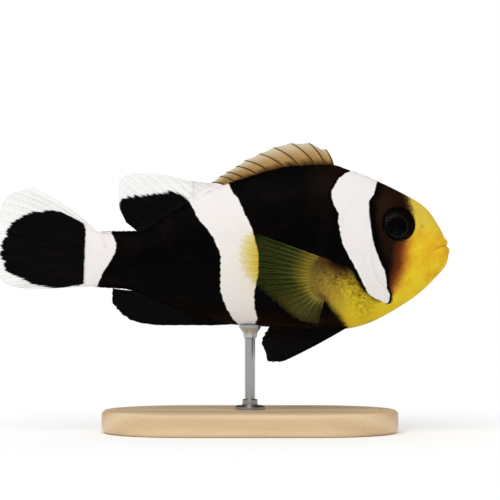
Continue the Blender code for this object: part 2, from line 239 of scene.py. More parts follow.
class Paint:
    """A material being made."""

    def __init__(self, name):
        self.material = bpy.data.materials.new(name)
        self.material.use_nodes = True
        self.tree = self.material.node_tree
        self.tree.nodes.clear()

    def node(self, kind, settings=None, inputs=None):
        return add_node(self.tree, kind, settings, inputs)

    def millimetres(self, vector):
        scaled = self.node("ShaderNodeVectorMath", {"operation": "SCALE"}, {0: vector, "Scale": 1 / MM})
        return scaled.outputs[0]

    def place(self):
        """Where a point is on the object, in millimetres."""
        return self.millimetres(self.node("ShaderNodeTexCoord").outputs["Object"])

    def attribute(self, name, output="Vector"):
        return self.node("ShaderNodeAttribute", {"attribute_name": name}).outputs[output]

    def parts(self, vector):
        split = self.node("ShaderNodeSeparateXYZ", None, {0: vector})
        return [Value(self, socket) for socket in split.outputs]

    def vector(self, x, y, z=0.0):
        return self.node("ShaderNodeCombineXYZ", None, {0: x, 1: y, 2: z}).outputs[0]

    def noise(self, vector, scale, detail=2.0, roughness=0.5):
        """Soft noise about 0, from about -0.5 to 0.5, at so many grains to the vector's unit."""
        node = self.node(
            "ShaderNodeTexNoise",
            None,
            {"Vector": vector, "Scale": scale, "Detail": detail, "Roughness": roughness},
        )
        return Value(self, node.outputs["Fac"]) - 0.5

    def mix(self, share, first, second):
        """The first colour, turning into the second as share goes from 0 to 1."""
        node = self.node("ShaderNodeMix", {"data_type": "RGBA"}, {0: share, 6: first, 7: second})
        return node.outputs[2]

    def bump(self, height, distance):
        """A normal from a height between 0 and 1 times a distance in millimetres."""
        inputs = {"Height": height, "Distance": distance * MM, "Strength": 1.0}
        return self.node("ShaderNodeBump", None, inputs).outputs[0]

    def solid(self, colour, roughness, normal=None, **fixed):
        """A Principled shader. Fixed values are set on its own sockets."""
        inputs = {"Base Color": colour, "Roughness": roughness}
        if normal is not None:
            inputs["Normal"] = normal
        inputs.update((name.replace("_", " "), number) for name, number in fixed.items())
        return self.node("ShaderNodeBsdfPrincipled", None, inputs).outputs[0]

    def clear(self, tint=(1, 1, 1, 1)):
        """A shader that lets light straight through."""
        return self.node("ShaderNodeBsdfTransparent", None, {"Color": tint}).outputs[0]

    def blend(self, share, first, second):
        """The first shader, turning into the second as share goes from 0 to 1."""
        return self.node("ShaderNodeMixShader", None, {0: share, 1: first, 2: second}).outputs[0]

    def end(self, surface):
        self.node("ShaderNodeOutputMaterial", None, {"Surface": surface})
        return self.material


def ink(*screen):
    """A colour given as on a screen, 0 to 255, as the linear numbers that shaders use."""
    linear = [((c / 255 + 0.055) / 1.055) ** 2.4 if c > 10 else c / 3295 for c in screen]
    return (*linear, 1.0)


print("ink(128, 128, 128) is", [round(c, 3) for c in ink(128, 128, 128)])

# %% [markdown]
# ## The fish's markings
#
# Skin and scales must carry the same bands, so the markings are one function of the place on the body. A
# band has a front edge and a rear edge. Each edge is a curve that gives x for a height, and a little
# noise makes it wander as real pigment does. The alternative, painting a picture and projecting it, would
# smear on the back and belly, where this keeps running round the body.

# %% The bands and the yellow parts
# Edges of the bands from belly to back: (height, x).
HEAD_BAND_REAR = (
    (-16.0, 25.5), (-9.6, 24.6), (-9.3, 23.6), (-8.7, 22.5), (-7.5, 20.7), (-5.3, 19.5), (-3.1, 18.4),
    (-1.1, 17.25), (1.3, 16.15), (3.9, 15.55), (5.0, 15.3), (6.1, 15.5), (7.0, 15.15), (8.3, 14.5),
    (10.0, 14.3), (11.2, 14.9), (12.0, 15.3), (13.2, 16.55), (14.1, 18.1), (16.0, 19.4),
)
HEAD_BAND_FRONT = (
    (-16.0, 22.5), (-9.7, 22.6), (-9.4, 23.8), (-8.9, 24.25), (-7.9, 24.35), (-7.0, 24.0), (-5.75, 23.85),
    (-4.0, 23.6), (-1.8, 22.6), (1.7, 21.45), (5.2, 20.85), (8.2, 20.8), (9.0, 21.2), (10.0, 21.8),
    (11.3, 22.1), (12.2, 22.4), (16.0, 22.4),
)
SADDLE_REAR = (
    (-16.0, -1.8), (-13.2, -1.9), (-12.3, -2.6), (-10.6, -3.7), (-8.4, -4.6), (-6.4, -5.0), (-3.6, -5.0),
    (-1.4, -4.95), (0.8, -5.65), (3.25, -7.0), (5.65, -9.0), (7.7, -10.0), (8.6, -10.6), (16.0, -11.6),
)
SADDLE_FRONT = (
    (-16.0, 1.0), (-13.2, 1.0), (-11.9, 1.4), (-10.1, 1.0), (-7.9, 0.9), (-5.7, 1.25), (-3.1, 1.65),
    (-0.5, 1.6), (1.7, 1.05), (3.9, 0.4), (6.3, -0.75), (8.7, -1.8), (11.3, -3.5), (16.0, -4.6),
)
STALK_BAND_FRONT = (
    (-9.0, -26.9), (-6.2, -26.7), (-4.6, -25.95), (-2.7, -24.8), (-0.9, -23.7), (0.8, -23.25), (1.9, -23.6),
    (3.0, -24.2), (6.0, -24.8),
)
TAIL_BLACK_FRONT_X = -28.85

# The yellow face begins this far forward at each height, with an edge this soft: (height, x or width).
# The breast lies between two lines: (x, height).
FACE_YELLOW = (
    (-16.0, 15.0), (-12.5, 17.8), (-10.0, 21.0), (-8.0, 24.5), (-6.0, 25.6), (-4.0, 26.5), (-2.0, 27.1),
    (0.0, 27.2), (2.5, 27.8), (4.5, 28.3), (6.5, 28.4), (8.0, 28.1), (9.5, 27.8), (14.0, 27.2),
)
FACE_SOFTNESS = ((-9.0, 0.5), (-5.0, 1.5), (0.0, 1.6), (3.0, 1.0), (6.0, 0.7), (12.0, 0.9))
BREAST_TOP = (
    (9.5, -5.0), (10.6, -2.6), (12.0, -1.2), (15.0, -2.5), (17.6, -3.6), (18.9, -5.7), (20.4, -7.4),
    (22.0, -8.5), (24.5, -9.2), (27.0, -8.6),
)
BREAST_FOOT = (
    (9.5, -5.2), (10.8, -6.9), (13.2, -8.4), (14.1, -9.7), (15.6, -11.3), (16.8, -12.8), (17.8, -15.0),
    (27.0, -16.5),
)

BLACK, BROWN_BLACK = ink(3, 2, 2), ink(42, 24, 13)
WHITE, COOL_WHITE = ink(230, 225, 222), ink(220, 216, 224)
YELLOW, DEEP_YELLOW, PALE_YELLOW = ink(221, 193, 42), ink(212, 153, 30), ink(204, 178, 66)
RED_BROWN, ORANGE_BROWN = ink(92, 40, 14), ink(178, 112, 36)
OLIVE_BROWN, OLIVE = ink(62, 42, 16), ink(146, 120, 46)
LOBE_BROWN, DUSK_BROWN = ink(148, 120, 50), ink(60, 35, 14)

ROOT_SHARE = 0.2  # how far a scale's colour is drawn to the colour at its root


def band(x, z, rear, front, wander):
    """How deep a point lies inside a band, in millimetres."""
    low = min(x for _, x in rear + front) - 1
    high = max(x for _, x in rear + front) + 1
    return (x - z.through(rear, low, high)).least(z.through(front, low, high) - x) + wander


def fish_colour(paint, place):
    """The colour of the fish's skin at a place in millimetres."""
    x, _, height = paint.parts(place)
    z = height - AXIS_HEIGHT
    wander = paint.noise(place, 0.9, 2.0) * 0.4
    cloud = paint.noise(place, 0.28, 3.0)
    grain = paint.noise(place, 1.9, 3.0, 0.65)

    head_band = band(x, z, HEAD_BAND_REAR, HEAD_BAND_FRONT, wander * 0.5)
    face_line = z.through(FACE_YELLOW, 10.0, 30.0)
    softness = z.through(FACE_SOFTNESS, 0.0, 2.0)
    ahead = (x - face_line + grain * 1.2) / softness
    crown = x.rise(21.5, 24.5) * z.rise(3.0, 8.0)
    nape = x.rise(8.0, 14.0) * z.rise(5.0, 11.0) * 0.35
    low = (z * -1).rise(10.0, 13.5) * 0.4
    behind_eye = (head_band * -1).rise(0.4, 2.0) * x.rise(20.5, 22.0) * z.rise(-6.0, 1.0) * 0.8
    brown = (crown * 0.75).most(nape).most(low).most(behind_eye) * (0.75 + cloud * 1.2)
    brown = brown + cloud.rise(0.0, 0.3) * 0.14
    colour = paint.mix(brown.least(1.0), BLACK, BROWN_BLACK)
    warm = 1 - z.rise(3.0, 6.5)
    colour = paint.mix(ahead.rise(-1.7, -0.6), colour, paint.mix(warm, OLIVE_BROWN, RED_BROWN))
    colour = paint.mix(ahead.rise(-0.8, 0.3), colour, paint.mix(warm, OLIVE, ORANGE_BROWN))
    ripe = (cloud * 2.2 + grain * 0.8 + 0.35).rise(0.0, 0.9) * z.rise(-9.0, -5.0) * x.rise(22.0, 27.0)
    yellow = paint.mix(ripe, YELLOW, DEEP_YELLOW)
    yellow = paint.mix((z + grain * 3.0).rise(1.0, 6.0) * 0.85, yellow, PALE_YELLOW)
    colour = paint.mix(ahead.rise(-0.2, 0.9), colour, yellow)

    roof = x.through(BREAST_TOP, -18.0, 0.0) - z + grain * 0.9
    floor = z - x.through(BREAST_FOOT, -18.0, 0.0) + grain * 1.2
    breast = roof.rise(-0.5, 1.1) * floor.rise(-1.1, 1.2) * x.rise(10.2, 11.2)
    dusk = (1 - roof.rise(0.2, 3.8)) * (1 - x.rise(16.0, 20.0) * 0.9)
    coarse = paint.noise(place, 3.2, 2.0, 0.65).rise(-0.06, 0.2) * (1.1 - roof.rise(1.0, 9.0))
    fine = paint.noise(place, 1.7, 4.0, 0.7).rise(-0.1, 0.12) * (1.05 - roof.rise(1.5, 8.0))
    spots = (coarse * 0.6).most(fine * 0.75) * (1 - x.rise(19.0, 23.0))
    breast_colour = paint.mix(x.rise(12.0, 19.5), LOBE_BROWN, YELLOW)
    breast_colour = paint.mix((dusk + spots * (1 - dusk)).least(1.0), breast_colour, DUSK_BROWN)
    colour = paint.mix(breast, colour, breast_colour)

    outline = (head_band + grain * 0.8).rise(-0.8, -0.3) * z.rise(-7.9, -6.9).most(x.rise(23.4, 23.8))
    colour = paint.mix(outline, colour, BLACK)
    saddle = band(x, z, SADDLE_REAR, SADDLE_FRONT, wander * 0.6)
    stalk = (z.through(STALK_BAND_FRONT, -28.0, -22.0) - x + wander * 0.4).least(x - TAIL_BLACK_FRONT_X)
    white = head_band.rise(-0.08, 0.12).most(saddle.rise(-0.1, 0.15)).most(stalk.rise(-0.1, 0.15))
    return paint.mix(white, colour, paint.mix(cloud.rise(0.0, 0.4) * 0.4, WHITE, COOL_WHITE))


def skin_paint(name, on_scales=False):
    """The finish of skin and scales: a satin wet look over the shared markings."""
    paint = Paint(name)
    place = paint.place()
    if on_scales:
        ends = {0: ROOT_SHARE, 4: place, 5: paint.millimetres(paint.attribute("root"))}
        place = paint.node("ShaderNodeMix", {"data_type": "VECTOR"}, ends).outputs[1]
    colour = fish_colour(paint, place)
    fine = paint.noise(paint.place(), 6.0, 3.0, 0.6)
    normal = paint.bump(fine + 0.5, 0.035)
    return paint.end(paint.solid(colour, fine * 0.2 + 0.46, normal, Specular_IOR_Level=0.025))


print(len(HEAD_BAND_REAR) + len(HEAD_BAND_FRONT), "points draw the head band")

# %% [markdown]
# ## The skin
#
# The skin is a loft: rings of points round the body, close together at the snout where the lips are.
# Sculpting would be the usual way to a fish's face, but a script can do the same with relief. Lips,
# nostrils, the bones of the cheek and the gill cover's edge are each a short rule that says how far the
# skin stands out there.

# %% Relief of the face
MOUTH_LINE = ((30.6, -1.3), (31.4, -0.6), (32.4, 0.1), (33.6, 0.6), (35.5, 0.85))
MOUTH_CORNER_X = 32.4
EYE_X, EYE_Z = 25.98, 4.6
EYE_OPENING = 2.95
NOSTRIL = (30.2, 4.1)
LOBE_HEIGHT = 0.72
CHEEK_EDGE = ((23.3, 7.6), (21.9, 4.0), (21.3, 0.0), (21.9, -3.6), (24.0, -6.4), (27.6, -7.6), (30.0, -6.6))
GILL_EDGE = (
    (17.6, 13.0), (18.6, 9.6), (16.7, 6.1), (15.6, 2.1), (15.9, -1.4), (17.5, -4.7), (19.8, -7.7),
    (22.2, -10.0), (23.2, -12.0),
)
JAW_CREASE = ((31.5, -0.4), (31.0, -2.0), (30.0, -3.4), (29.4, -4.0))
EYE_SHELF = ((31.6, 2.4), (29.6, 0.9), (27.0, 0.1), (24.4, 0.5), (22.6, 2.4))
FIN_BASE = (
    (14.0, 1.2), (13.0, -0.6), (11.8, -2.1), (11.0, -3.8), (10.8, -5.4), (11.0, -6.8), (11.8, -8.0),
    (13.1, -8.9), (15.0, -9.4),
)


def fade(value, low, high):
    """0 up to low, 1 from high on."""
    t = np.clip((value - low) / (high - low), 0.0, 1.0)
    return t * t * (3 - 2 * t)


def hump(value, width):
    return np.exp(-((value / width) ** 2))


def line_offset(points, x, z, count=160):
    """The distance to a smooth line in the side view, positive on the left of its run, and how far
    along the line its nearest point is, from 0 to 1."""
    places = np.linspace(0, len(points) - 1, count)
    line_x = smooth_curve(range(len(points)), [p[0] for p in points])(places)
    line_z = smooth_curve(range(len(points)), [p[1] for p in points])(places)
    flat_x, flat_z = np.ravel(x), np.ravel(z)
    best = np.full(flat_x.shape, 1e9)
    sign, along = np.ones(flat_x.shape), np.zeros(flat_x.shape)
    for i in range(count - 1):
        ax, az = line_x[i], line_z[i]
        bx, bz = line_x[i + 1] - ax, line_z[i + 1] - az
        t = np.clip(((flat_x - ax) * bx + (flat_z - az) * bz) / (bx * bx + bz * bz), 0.0, 1.0)
        off_x, off_z = flat_x - ax - t * bx, flat_z - az - t * bz
        away = np.hypot(off_x, off_z)
        nearer = away < best
        best = np.where(nearer, away, best)
        sign = np.where(nearer, np.sign(bx * off_z - bz * off_x), sign)
        along = np.where(nearer, (i + t) / (count - 1), along)
    return (best * sign).reshape(np.shape(x)), along.reshape(np.shape(x))


def held(along, start, end):
    """1 along a line, running out over a share of it at its start and its end."""
    return fade(along, 0.0, start) * fade(1 - along, 0.0, end)


def crease(points, x, z, depth, width):
    """A soft furrow along a line, which runs out at both ends."""
    offset, along = line_offset(points, x, z)
    return -depth * hump(offset, width) * held(along, 0.2, 0.2)


def shelf(points, x, z, height, run, groove, ends):
    """A plate's edge: the skin swells up to it from one side and drops to a groove on the other."""
    offset, along = line_offset(points, x, z)
    near = held(along, *ends) * hump(np.minimum(np.abs(offset), 5), 3.0)
    swell = height * np.exp(-np.maximum(offset, 0) / run)
    drop = -groove * np.exp(-np.maximum(-offset, 0) / 0.45)
    return near * (drop + (swell - drop) * fade(offset, -0.5, 0.4))


def lobe_relief(x, z):
    """The fleshy lobe that carries the pectoral fin."""
    behind, along = line_offset(FIN_BASE, x, z, 60)
    lobe = hump(np.maximum(behind, 0), 2.6) * hump(np.minimum(behind, 0), 0.9)
    return LOBE_HEIGHT * lobe * fade(along, 0.0, 0.3) * fade(1 - along, 0.0, 0.3)


def relief(x, z):
    """How far the skin stands out of the plain body, in millimetres."""
    mouth = smooth_curve([p[0] for p in MOUTH_LINE], [p[1] for p in MOUTH_LINE])
    above = (z - mouth(x)) * 0.9
    to_mouth = np.hypot(above, np.maximum(MOUTH_CORNER_X - x, 0) * 1.4)
    lips = fade(x, 31.6, 34.2)
    out = -0.26 * hump(to_mouth, 0.17)
    out += lips * (0.18 * hump(above - 0.72, 0.45) - 0.08 * hump(above - 1.5, 0.3))
    out += lips * (0.15 * hump(above + 0.78, 0.52) - 0.04 * hump(above + 1.75, 0.35))
    out += crease(JAW_CREASE, x, z, 0.05, 0.35)

    eye = np.hypot(x - EYE_X, z - EYE_Z)
    out += 0.16 * hump(eye - 3.35, 0.4) - 0.07 * hump(eye - 4.3, 0.5)
    out -= 1.5 * (1 - fade(eye, EYE_OPENING - 0.35, EYE_OPENING + 0.02))
    out += crease(EYE_SHELF, x, z, 0.12, 0.3) * fade(eye, 3.4, 4.2)

    nostril = np.hypot(x - NOSTRIL[0], z - NOSTRIL[1])
    out += 0.10 * hump(nostril - 0.42, 0.18) - 0.35 * hump(nostril, 0.22)

    out += shelf(CHEEK_EDGE, x, z, 0.08, 1.2, 0.04, (0.15, 0.25))
    out += shelf(GILL_EDGE, x, z, 0.13, 1.5, 0.07, (0.3, 0.3))
    return out + lobe_relief(x, z)


print("the lips stand", round(float(relief(np.array([34.0]), np.array([1.5]))[0]), 2), "mm out")

# %% [markdown]
# ## Lofting the skin
#
# Each ring is sampled at even steps of its own girth, so the faces stay near square from back to belly. The
# UV map OFBake is the skin rolled out flat: distance from the snout one way and the way round the body the
# other. The seam runs along the belly, where nobody looks.

# %% Loft the skin
RINGS, SIDES = 270, 216
RING_CROWDING = 1.6
COAT_DEPTH = 0.12
SECTION_SAMPLES = 401
MAP_MARGIN = 0.01  # kept free round the OFBake map
MAP_SHARE = 1 - 2 * MAP_MARGIN


def half_section(x):
    """Half of the section at each x from back to belly: how far out, how high, and the girth so far."""
    turn = np.linspace(0.0, np.pi, SECTION_SAMPLES)
    middle, reach = (back_z(x) + belly_z(x)) / 2, (back_z(x) - belly_z(x)) / 2
    z = middle[:, None] + reach[:, None] * np.cos(turn)
    y = half_width(x[:, None], z)
    y[:, 0] = y[:, -1] = 0.0
    length = np.hypot(np.diff(y, axis=1), np.diff(z, axis=1))
    return y, z, np.concatenate((np.zeros((len(x), 1)), np.cumsum(length, axis=1)), axis=1)


def unit(vectors):
    return vectors / np.maximum(np.linalg.norm(vectors, axis=-1, keepdims=True), 1e-12)


def skin_grid():
    """Places and normals of the skin: rings from the snout back, each from the belly over the right side."""
    x = SNOUT_X - BODY_LENGTH * (np.arange(1, RINGS + 1) / RINGS) ** RING_CROWDING
    y, z, girth = half_section(x)
    around = np.arange(SIDES) / SIDES
    down = np.abs(0.5 - around) * 2
    side = np.where(around < 0.5, -1.0, 1.0)
    points = np.empty((RINGS, SIDES, 3))
    for i in range(RINGS):
        at = down * girth[i, -1]
        points[i, :, 0] = x[i]
        points[i, :, 1] = side * np.interp(at, girth[i], y[i])
        points[i, :, 2] = np.interp(at, girth[i], z[i])
    normals = grid_normals(points)
    out = relief(points[..., 0], points[..., 2]) - COAT_DEPTH
    points = points + normals * out[..., None]
    return points, grid_normals(points)


def grid_normals(points):
    along = np.gradient(points, axis=0)
    across = (np.roll(points, -1, axis=1) - np.roll(points, 1, axis=1)) / 2
    return unit(np.cross(across, along))


def ring_faces(rings, count):
    """Faces between closed rings, each of count points that follow on from the ring before."""
    faces = []
    for first in range(0, (rings - 1) * count, count):
        for k in range(count):
            after = (k + 1) % count
            faces.append((first + k, first + after, first + count + after, first + count + k))
    return faces


def fresh_mesh(name, verts, faces):
    """A smooth-shaded mesh whose faces all point outwards."""
    mesh = bpy.data.meshes.new(name)
    mesh.from_pydata([tuple(v) for v in verts], [], faces)
    mesh.update()
    bm = bmesh.new()
    bm.from_mesh(mesh)
    bmesh.ops.recalc_face_normals(bm, faces=bm.faces)
    bm.to_mesh(mesh)
    bm.free()
    mesh.shade_smooth()
    return mesh


def mark(mesh, name, values):
    """Stores a number or a vector for each point of a mesh."""
    values = np.asarray(values, np.float32)
    kind, key = ("FLOAT", "value") if values.ndim == 1 else ("FLOAT_VECTOR", "vector")
    mesh.attributes.new(name, kind, "POINT").data.foreach_set(key, values.ravel())


def put(name, data):
    """An object of some data, in the scene."""
    thing = bpy.data.objects.new(name, data)
    bpy.context.scene.collection.objects.link(thing)
    return thing


def show(name, mesh, material, slot, *stands_for):
    """Puts a finished mesh on the object: it rides on the only body and hides the frame's pieces it stands
    for.
    """
    piece = put(name, mesh)
    if material is not None:
        mesh.materials.clear()
        mesh.materials.append(material)
    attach(piece, "root")
    if stands_for:
        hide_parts(*stands_for)
    return piece


def lay_out(mesh, spot_of_vertex):
    """Writes the OFBake map. A face that crosses the seam takes the high side of it."""
    layer = mesh.uv_layers.new(name="OFBake")
    loops = np.empty(len(mesh.loops), int)
    mesh.loops.foreach_get("vertex_index", loops)
    spots = spot_of_vertex[loops]
    for face in mesh.polygons:
        part = slice(face.loop_start, face.loop_start + face.loop_total)
        if np.ptp(spots[part, 1]) > 0.5:
            low = spots[part, 1] < 0.5
            spots[part, 1] += low
    layer.data.foreach_set("uv", (spots * MAP_SHARE + MAP_MARGIN).ravel())


def make_skin():
    points, normals = skin_grid()
    verts, faces = to_frame(points.reshape(-1, 3)).tolist(), ring_faces(RINGS, SIDES)
    snout, end = len(verts), len(verts) + 1
    verts.append(to_frame((SNOUT_X - COAT_DEPTH, 0.0, float(back_z(SNOUT_X)))).tolist())
    verts.append(to_frame(points[-1].mean(axis=0)).tolist())
    last = (RINGS - 1) * SIDES
    for k in range(SIDES):
        after = (k + 1) % SIDES
        faces.append((snout, after, k))
        faces.append((end, last + k, last + after))
    mesh = fresh_mesh("skin", verts, faces)
    along = np.repeat(np.arange(1, RINGS + 1) / (RINGS + 1), SIDES)
    around = np.tile(np.arange(SIDES) / SIDES, RINGS)
    spots = np.column_stack((along, around))
    spots = np.vstack((spots, (0.0, 0.5), (1.0, 0.5)))
    lay_out(mesh, spots)
    flesh = ("head", "lower_jaw", "gill_cover_left", "gill_cover_right", "trunk", "tail_stalk")
    show("skin", mesh, skin_paint("skin"), "fish_skin", *flesh)
    print("skin faces:", len(mesh.polygons))
    return points, normals


skin_points, skin_normals = make_skin()

# %% [markdown]
# ## Scales
#
# A fish's scales are small plates that overlap like tiles and point to the tail. They could be faked in
# bump, but real plates catch the light at the outline and where the body turns away. One plate is
# modelled, then Geometry Nodes set it at every seed. The seeds lie in rows at even steps of girth above
# and below the middle of the flank, each ring half a scale out of step with the last, and rows run out at
# the back and belly, as they do on a real fish.

# %% One scale
PLATE_STATIONS = (  # (along the scale, half as wide)
    (-0.35, 0.36), (0.1, 0.54), (0.5, 0.56), (0.85, 0.42), (1.06, 0.16),
)
PLATE_COLUMNS = (-1.0, -0.4, 0.4, 1.0)
PLATE_LIFT = 0.04  # how much the free end rises, for each scale's length
PLATE_DOME = 0.015
SPOT_SHARE = 0.6


def scale_plate():
    """A closed plate one scale long, root at the origin and free end along +X, thin as a fingernail."""
    bm = bmesh.new()
    rows = []
    for along, wide in PLATE_STATIONS:
        lift = -0.03 + PLATE_LIFT * (along + 0.35)
        rows.append([bm.verts.new((along, wide * c, lift + PLATE_DOME * (1 - c * c))) for c in PLATE_COLUMNS])
    for near, far in zip(rows, rows[1:]):
        for k in range(len(PLATE_COLUMNS) - 1):
            bm.faces.new((near[k], far[k], far[k + 1], near[k + 1]))
        bm.faces.new((near[0], near[-1], far[-1], far[0]))
    bm.faces.new(rows[0])
    bm.faces.new(rows[-1])
    bmesh.ops.recalc_face_normals(bm, faces=bm.faces)
    mesh = bpy.data.meshes.new("scale_plate")
    bm.to_mesh(mesh)
    bm.free()
    mesh.transform(((MM, 0, 0, 0), (0, MM, 0, 0), (0, 0, MM, 0), (0, 0, 0, 1)))
    mesh.shade_smooth()
    mesh.set_sharp_from_angle(angle=math.radians(60))
    spots = np.array([tuple(vert.co) for vert in mesh.vertices]) / MM * SPOT_SHARE
    mark(mesh, "plate_spot", spots * (1, 1, 0))
    return bpy.data.objects.new("scale_plate", mesh)


plate = scale_plate()
print("faces to a scale:", len(plate.data.polygons))

# %% [markdown]
# ## Where each scale grows
#
# A seed needs a place, a normal, a lie and a size. The skin's own grid already has all four, lips, gill
# cover and fin lobe included, so a seed is simply looked up between the grid's points. Seeds near the
# eye, the lips and the throat are dropped, because the species is naked there.

# %% Sow the seeds
SCALE_SIZE = 1.08
HEAD_SCALE_SIZE = 0.72
STALK_SCALE_SIZE = 0.85
RING_STEP = 0.5  # of a scale
ROW_STEP = 1.02  # of a scale
SCALED_FROM_X = 27.4
EDGE_CLEAR = 0.12  # of a scale, kept free along the back and the belly
SINK = 0.1  # how deep the first scales lie in the skin
SINK_RUN = 1.8
PATCH = 0.003  # a scale's width on the OFBake map

seed_random = np.random.default_rng(11)


def scale_size(x):
    size = SCALE_SIZE + (HEAD_SCALE_SIZE - SCALE_SIZE) * fade(x, 9.0, 24.0)
    return size + (STALK_SCALE_SIZE - SCALE_SIZE) * fade(-x, 14.0, 24.0)


def on_grid(grid, ring, around):
    """A value of the skin's grid at fractional rings and fractional steps round the body."""
    ring = np.clip(ring, 0, RINGS - 1.001)
    i, k = ring.astype(int), np.floor(around).astype(int)
    s, t = (ring - i)[:, None], (around - k)[:, None]
    k, after = k % SIDES, (k + 1) % SIDES
    near = grid[i, k] * (1 - t) + grid[i, after] * t
    far = grid[i + 1, k] * (1 - t) + grid[i + 1, after] * t
    return near * (1 - s) + far * s


def clearance(x, z):
    """How far inside the scaled skin a point is: clear of the eye, snout, throat, fin foot and tail."""
    eye = np.hypot(x - EYE_X, z - EYE_Z) - 3.75
    snout = 26.6 + fade(-z, -2.0, 3.0) * 0.8 - fade(z, 8.0, 10.0) * 2.5 - x
    throat = np.maximum(z + 8.3, 24.0 - x)
    ahead = line_offset(FIN_BASE, x, z)[0]
    fin_foot = np.where(ahead > 0, (ahead - 0.35) * 3, -ahead - 1.6)
    limits = (eye, snout, throat, fin_foot, x - STALK_END_X)
    return np.minimum.reduce(limits)


def spot_of(x, row, side):
    """The skin grid's ring and step round for a point on a row of scales, rows counted from mid flank."""
    _, _, girth = half_section(x)
    down = girth[:, SECTION_SAMPLES // 2] + row * scale_size(x) * ROW_STEP
    ring = RINGS * ((SNOUT_X - x) / BODY_LENGTH) ** (1 / RING_CROWDING) - 1
    return ring, (0.5 + side * np.clip(down / girth[:, -1], 0.0, 1.0) / 2) * SIDES


def sow(side):
    """Seeds of one side: every second ring is half a scale out of step."""
    x, seeds, number = SCALED_FROM_X, [], 0
    while x > STALK_END_X + 0.3:
        size = float(scale_size(x))
        _, _, girth = half_section(np.array([x]))
        whole, flank, step = girth[0, -1], girth[0, SECTION_SAMPLES // 2], size * ROW_STEP
        shift = 0.5 * (number % 2)
        first = math.ceil((EDGE_CLEAR * size - flank) / step - shift)
        last = math.floor((whole - EDGE_CLEAR * size - flank) / step - shift)
        seeds += [(x, row + shift) for row in range(first, last + 1)]
        x -= RING_STEP * size
        number += 1
    x, row = np.array(seeds).T
    ring, around = spot_of(x, row, side)
    place, normal = on_grid(skin_points, ring, around), unit(on_grid(skin_normals, ring, around))
    lie = on_grid(skin_points, *spot_of(np.maximum(x - 0.5, STALK_END_X), row, side)) - place
    clear = clearance(place[:, 0], place[:, 2])
    place = place - normal * (SINK * (1 - fade(clear, 0.0, SINK_RUN)))[:, None]
    keep = clear > 0
    spot = np.column_stack(((ring + 1) / (RINGS + 1), around / SIDES, np.zeros(len(x))))
    spot[:, :2] = spot[:, :2] * MAP_SHARE + MAP_MARGIN
    values = {
        "root": to_frame(place),
        "outward": normal,
        "lie": unit(unit(lie) + seed_random.normal(0, 0.03, lie.shape)),
        "size": scale_size(x) * seed_random.uniform(0.96, 1.04, len(x)),
        "root_spot": spot,
    }
    return {key: value[keep] for key, value in values.items()}


def point_cloud(name, seeds):
    """Loose points that carry the seeds' values as attributes."""
    mesh = bpy.data.meshes.new(name)
    mesh.from_pydata(seeds["root"].tolist(), [], [])
    for key, values in seeds.items():
        mark(mesh, key, values)
    return put(name, mesh)


right_seeds, left_seeds = sow(-1), sow(1)
print("scales on the right:", len(right_seeds["size"]), "on the left:", len(left_seeds["size"]))

# %% [markdown]
# ## A tree that sets scales
#
# Geometry Nodes suit this: the tree is short, and a change of the plate changes every scale. It turns
# each plate with two Align Rotation nodes, first its Z to the skin's normal and then its X to the lie. It
# ends by making the copies real, because an exported model drops instances, and writes each scale's own
# small patch on the skin's map.

# %% Build the scale tree
class Growth:
    """A Geometry Nodes tree being made. Its last input is always the finish."""

    def __init__(self, name, **inputs):
        self.tree = bpy.data.node_groups.new(name, "GeometryNodeTree")
        self.tree.interface.new_socket(name="Geometry", in_out="OUTPUT", socket_type="NodeSocketGeometry")
        for title, kind in {"Geometry": "Geometry", **inputs, "Finish": "Material"}.items():
            self.tree.interface.new_socket(name=title, in_out="INPUT", socket_type="NodeSocket" + kind)
        self.given = self.tree.nodes.new("NodeGroupInput").outputs

    def add(self, kind, inputs, settings=None, output=0):
        return add_node(self.tree, kind, settings, inputs).outputs[output]

    def named(self, name, kind="FLOAT_VECTOR"):
        return self.add("GeometryNodeInputNamedAttribute", {"Name": name}, {"data_type": kind})

    def finish(self, geometry):
        inputs = {"Geometry": geometry, "Material": self.given["Finish"]}
        add_node(self.tree, "NodeGroupOutput", None, {0: self.add("GeometryNodeSetMaterial", inputs)})
        return self.tree


def scale_tree():
    grow = Growth("set_scales", Plate="Object", Patch="Float")
    shape = grow.add("GeometryNodeObjectInfo", {"Object": grow.given["Plate"]}, None, "Geometry")
    align = "FunctionNodeAlignRotationToVector"
    upright = grow.add(align, {"Vector": grow.named("outward")}, {"axis": "Z"})
    aims = {"Rotation": upright, "Vector": grow.named("lie")}
    turned = grow.add(align, aims, {"axis": "X", "pivot_axis": "Z"})
    seeds = {"Points": grow.given["Geometry"], "Instance": shape, "Rotation": turned}
    seeds["Scale"] = grow.named("size", "FLOAT")
    copies = grow.add("GeometryNodeInstanceOnPoints", seeds)
    real = grow.add("GeometryNodeRealizeInstances", {"Geometry": copies})
    ends = {0: grow.named("plate_spot"), "Scale": grow.given["Patch"]}
    spread = grow.add("ShaderNodeVectorMath", ends, {"operation": "SCALE"})
    spot = grow.add("ShaderNodeVectorMath", {0: grow.named("root_spot"), 1: spread}, {"operation": "ADD"})
    mapped = grow.add(
        "GeometryNodeStoreNamedAttribute",
        {"Geometry": real, "Name": "OFBake", "Value": spot},
        {"data_type": "FLOAT2", "domain": "CORNER"},
    )
    return grow.finish(mapped)


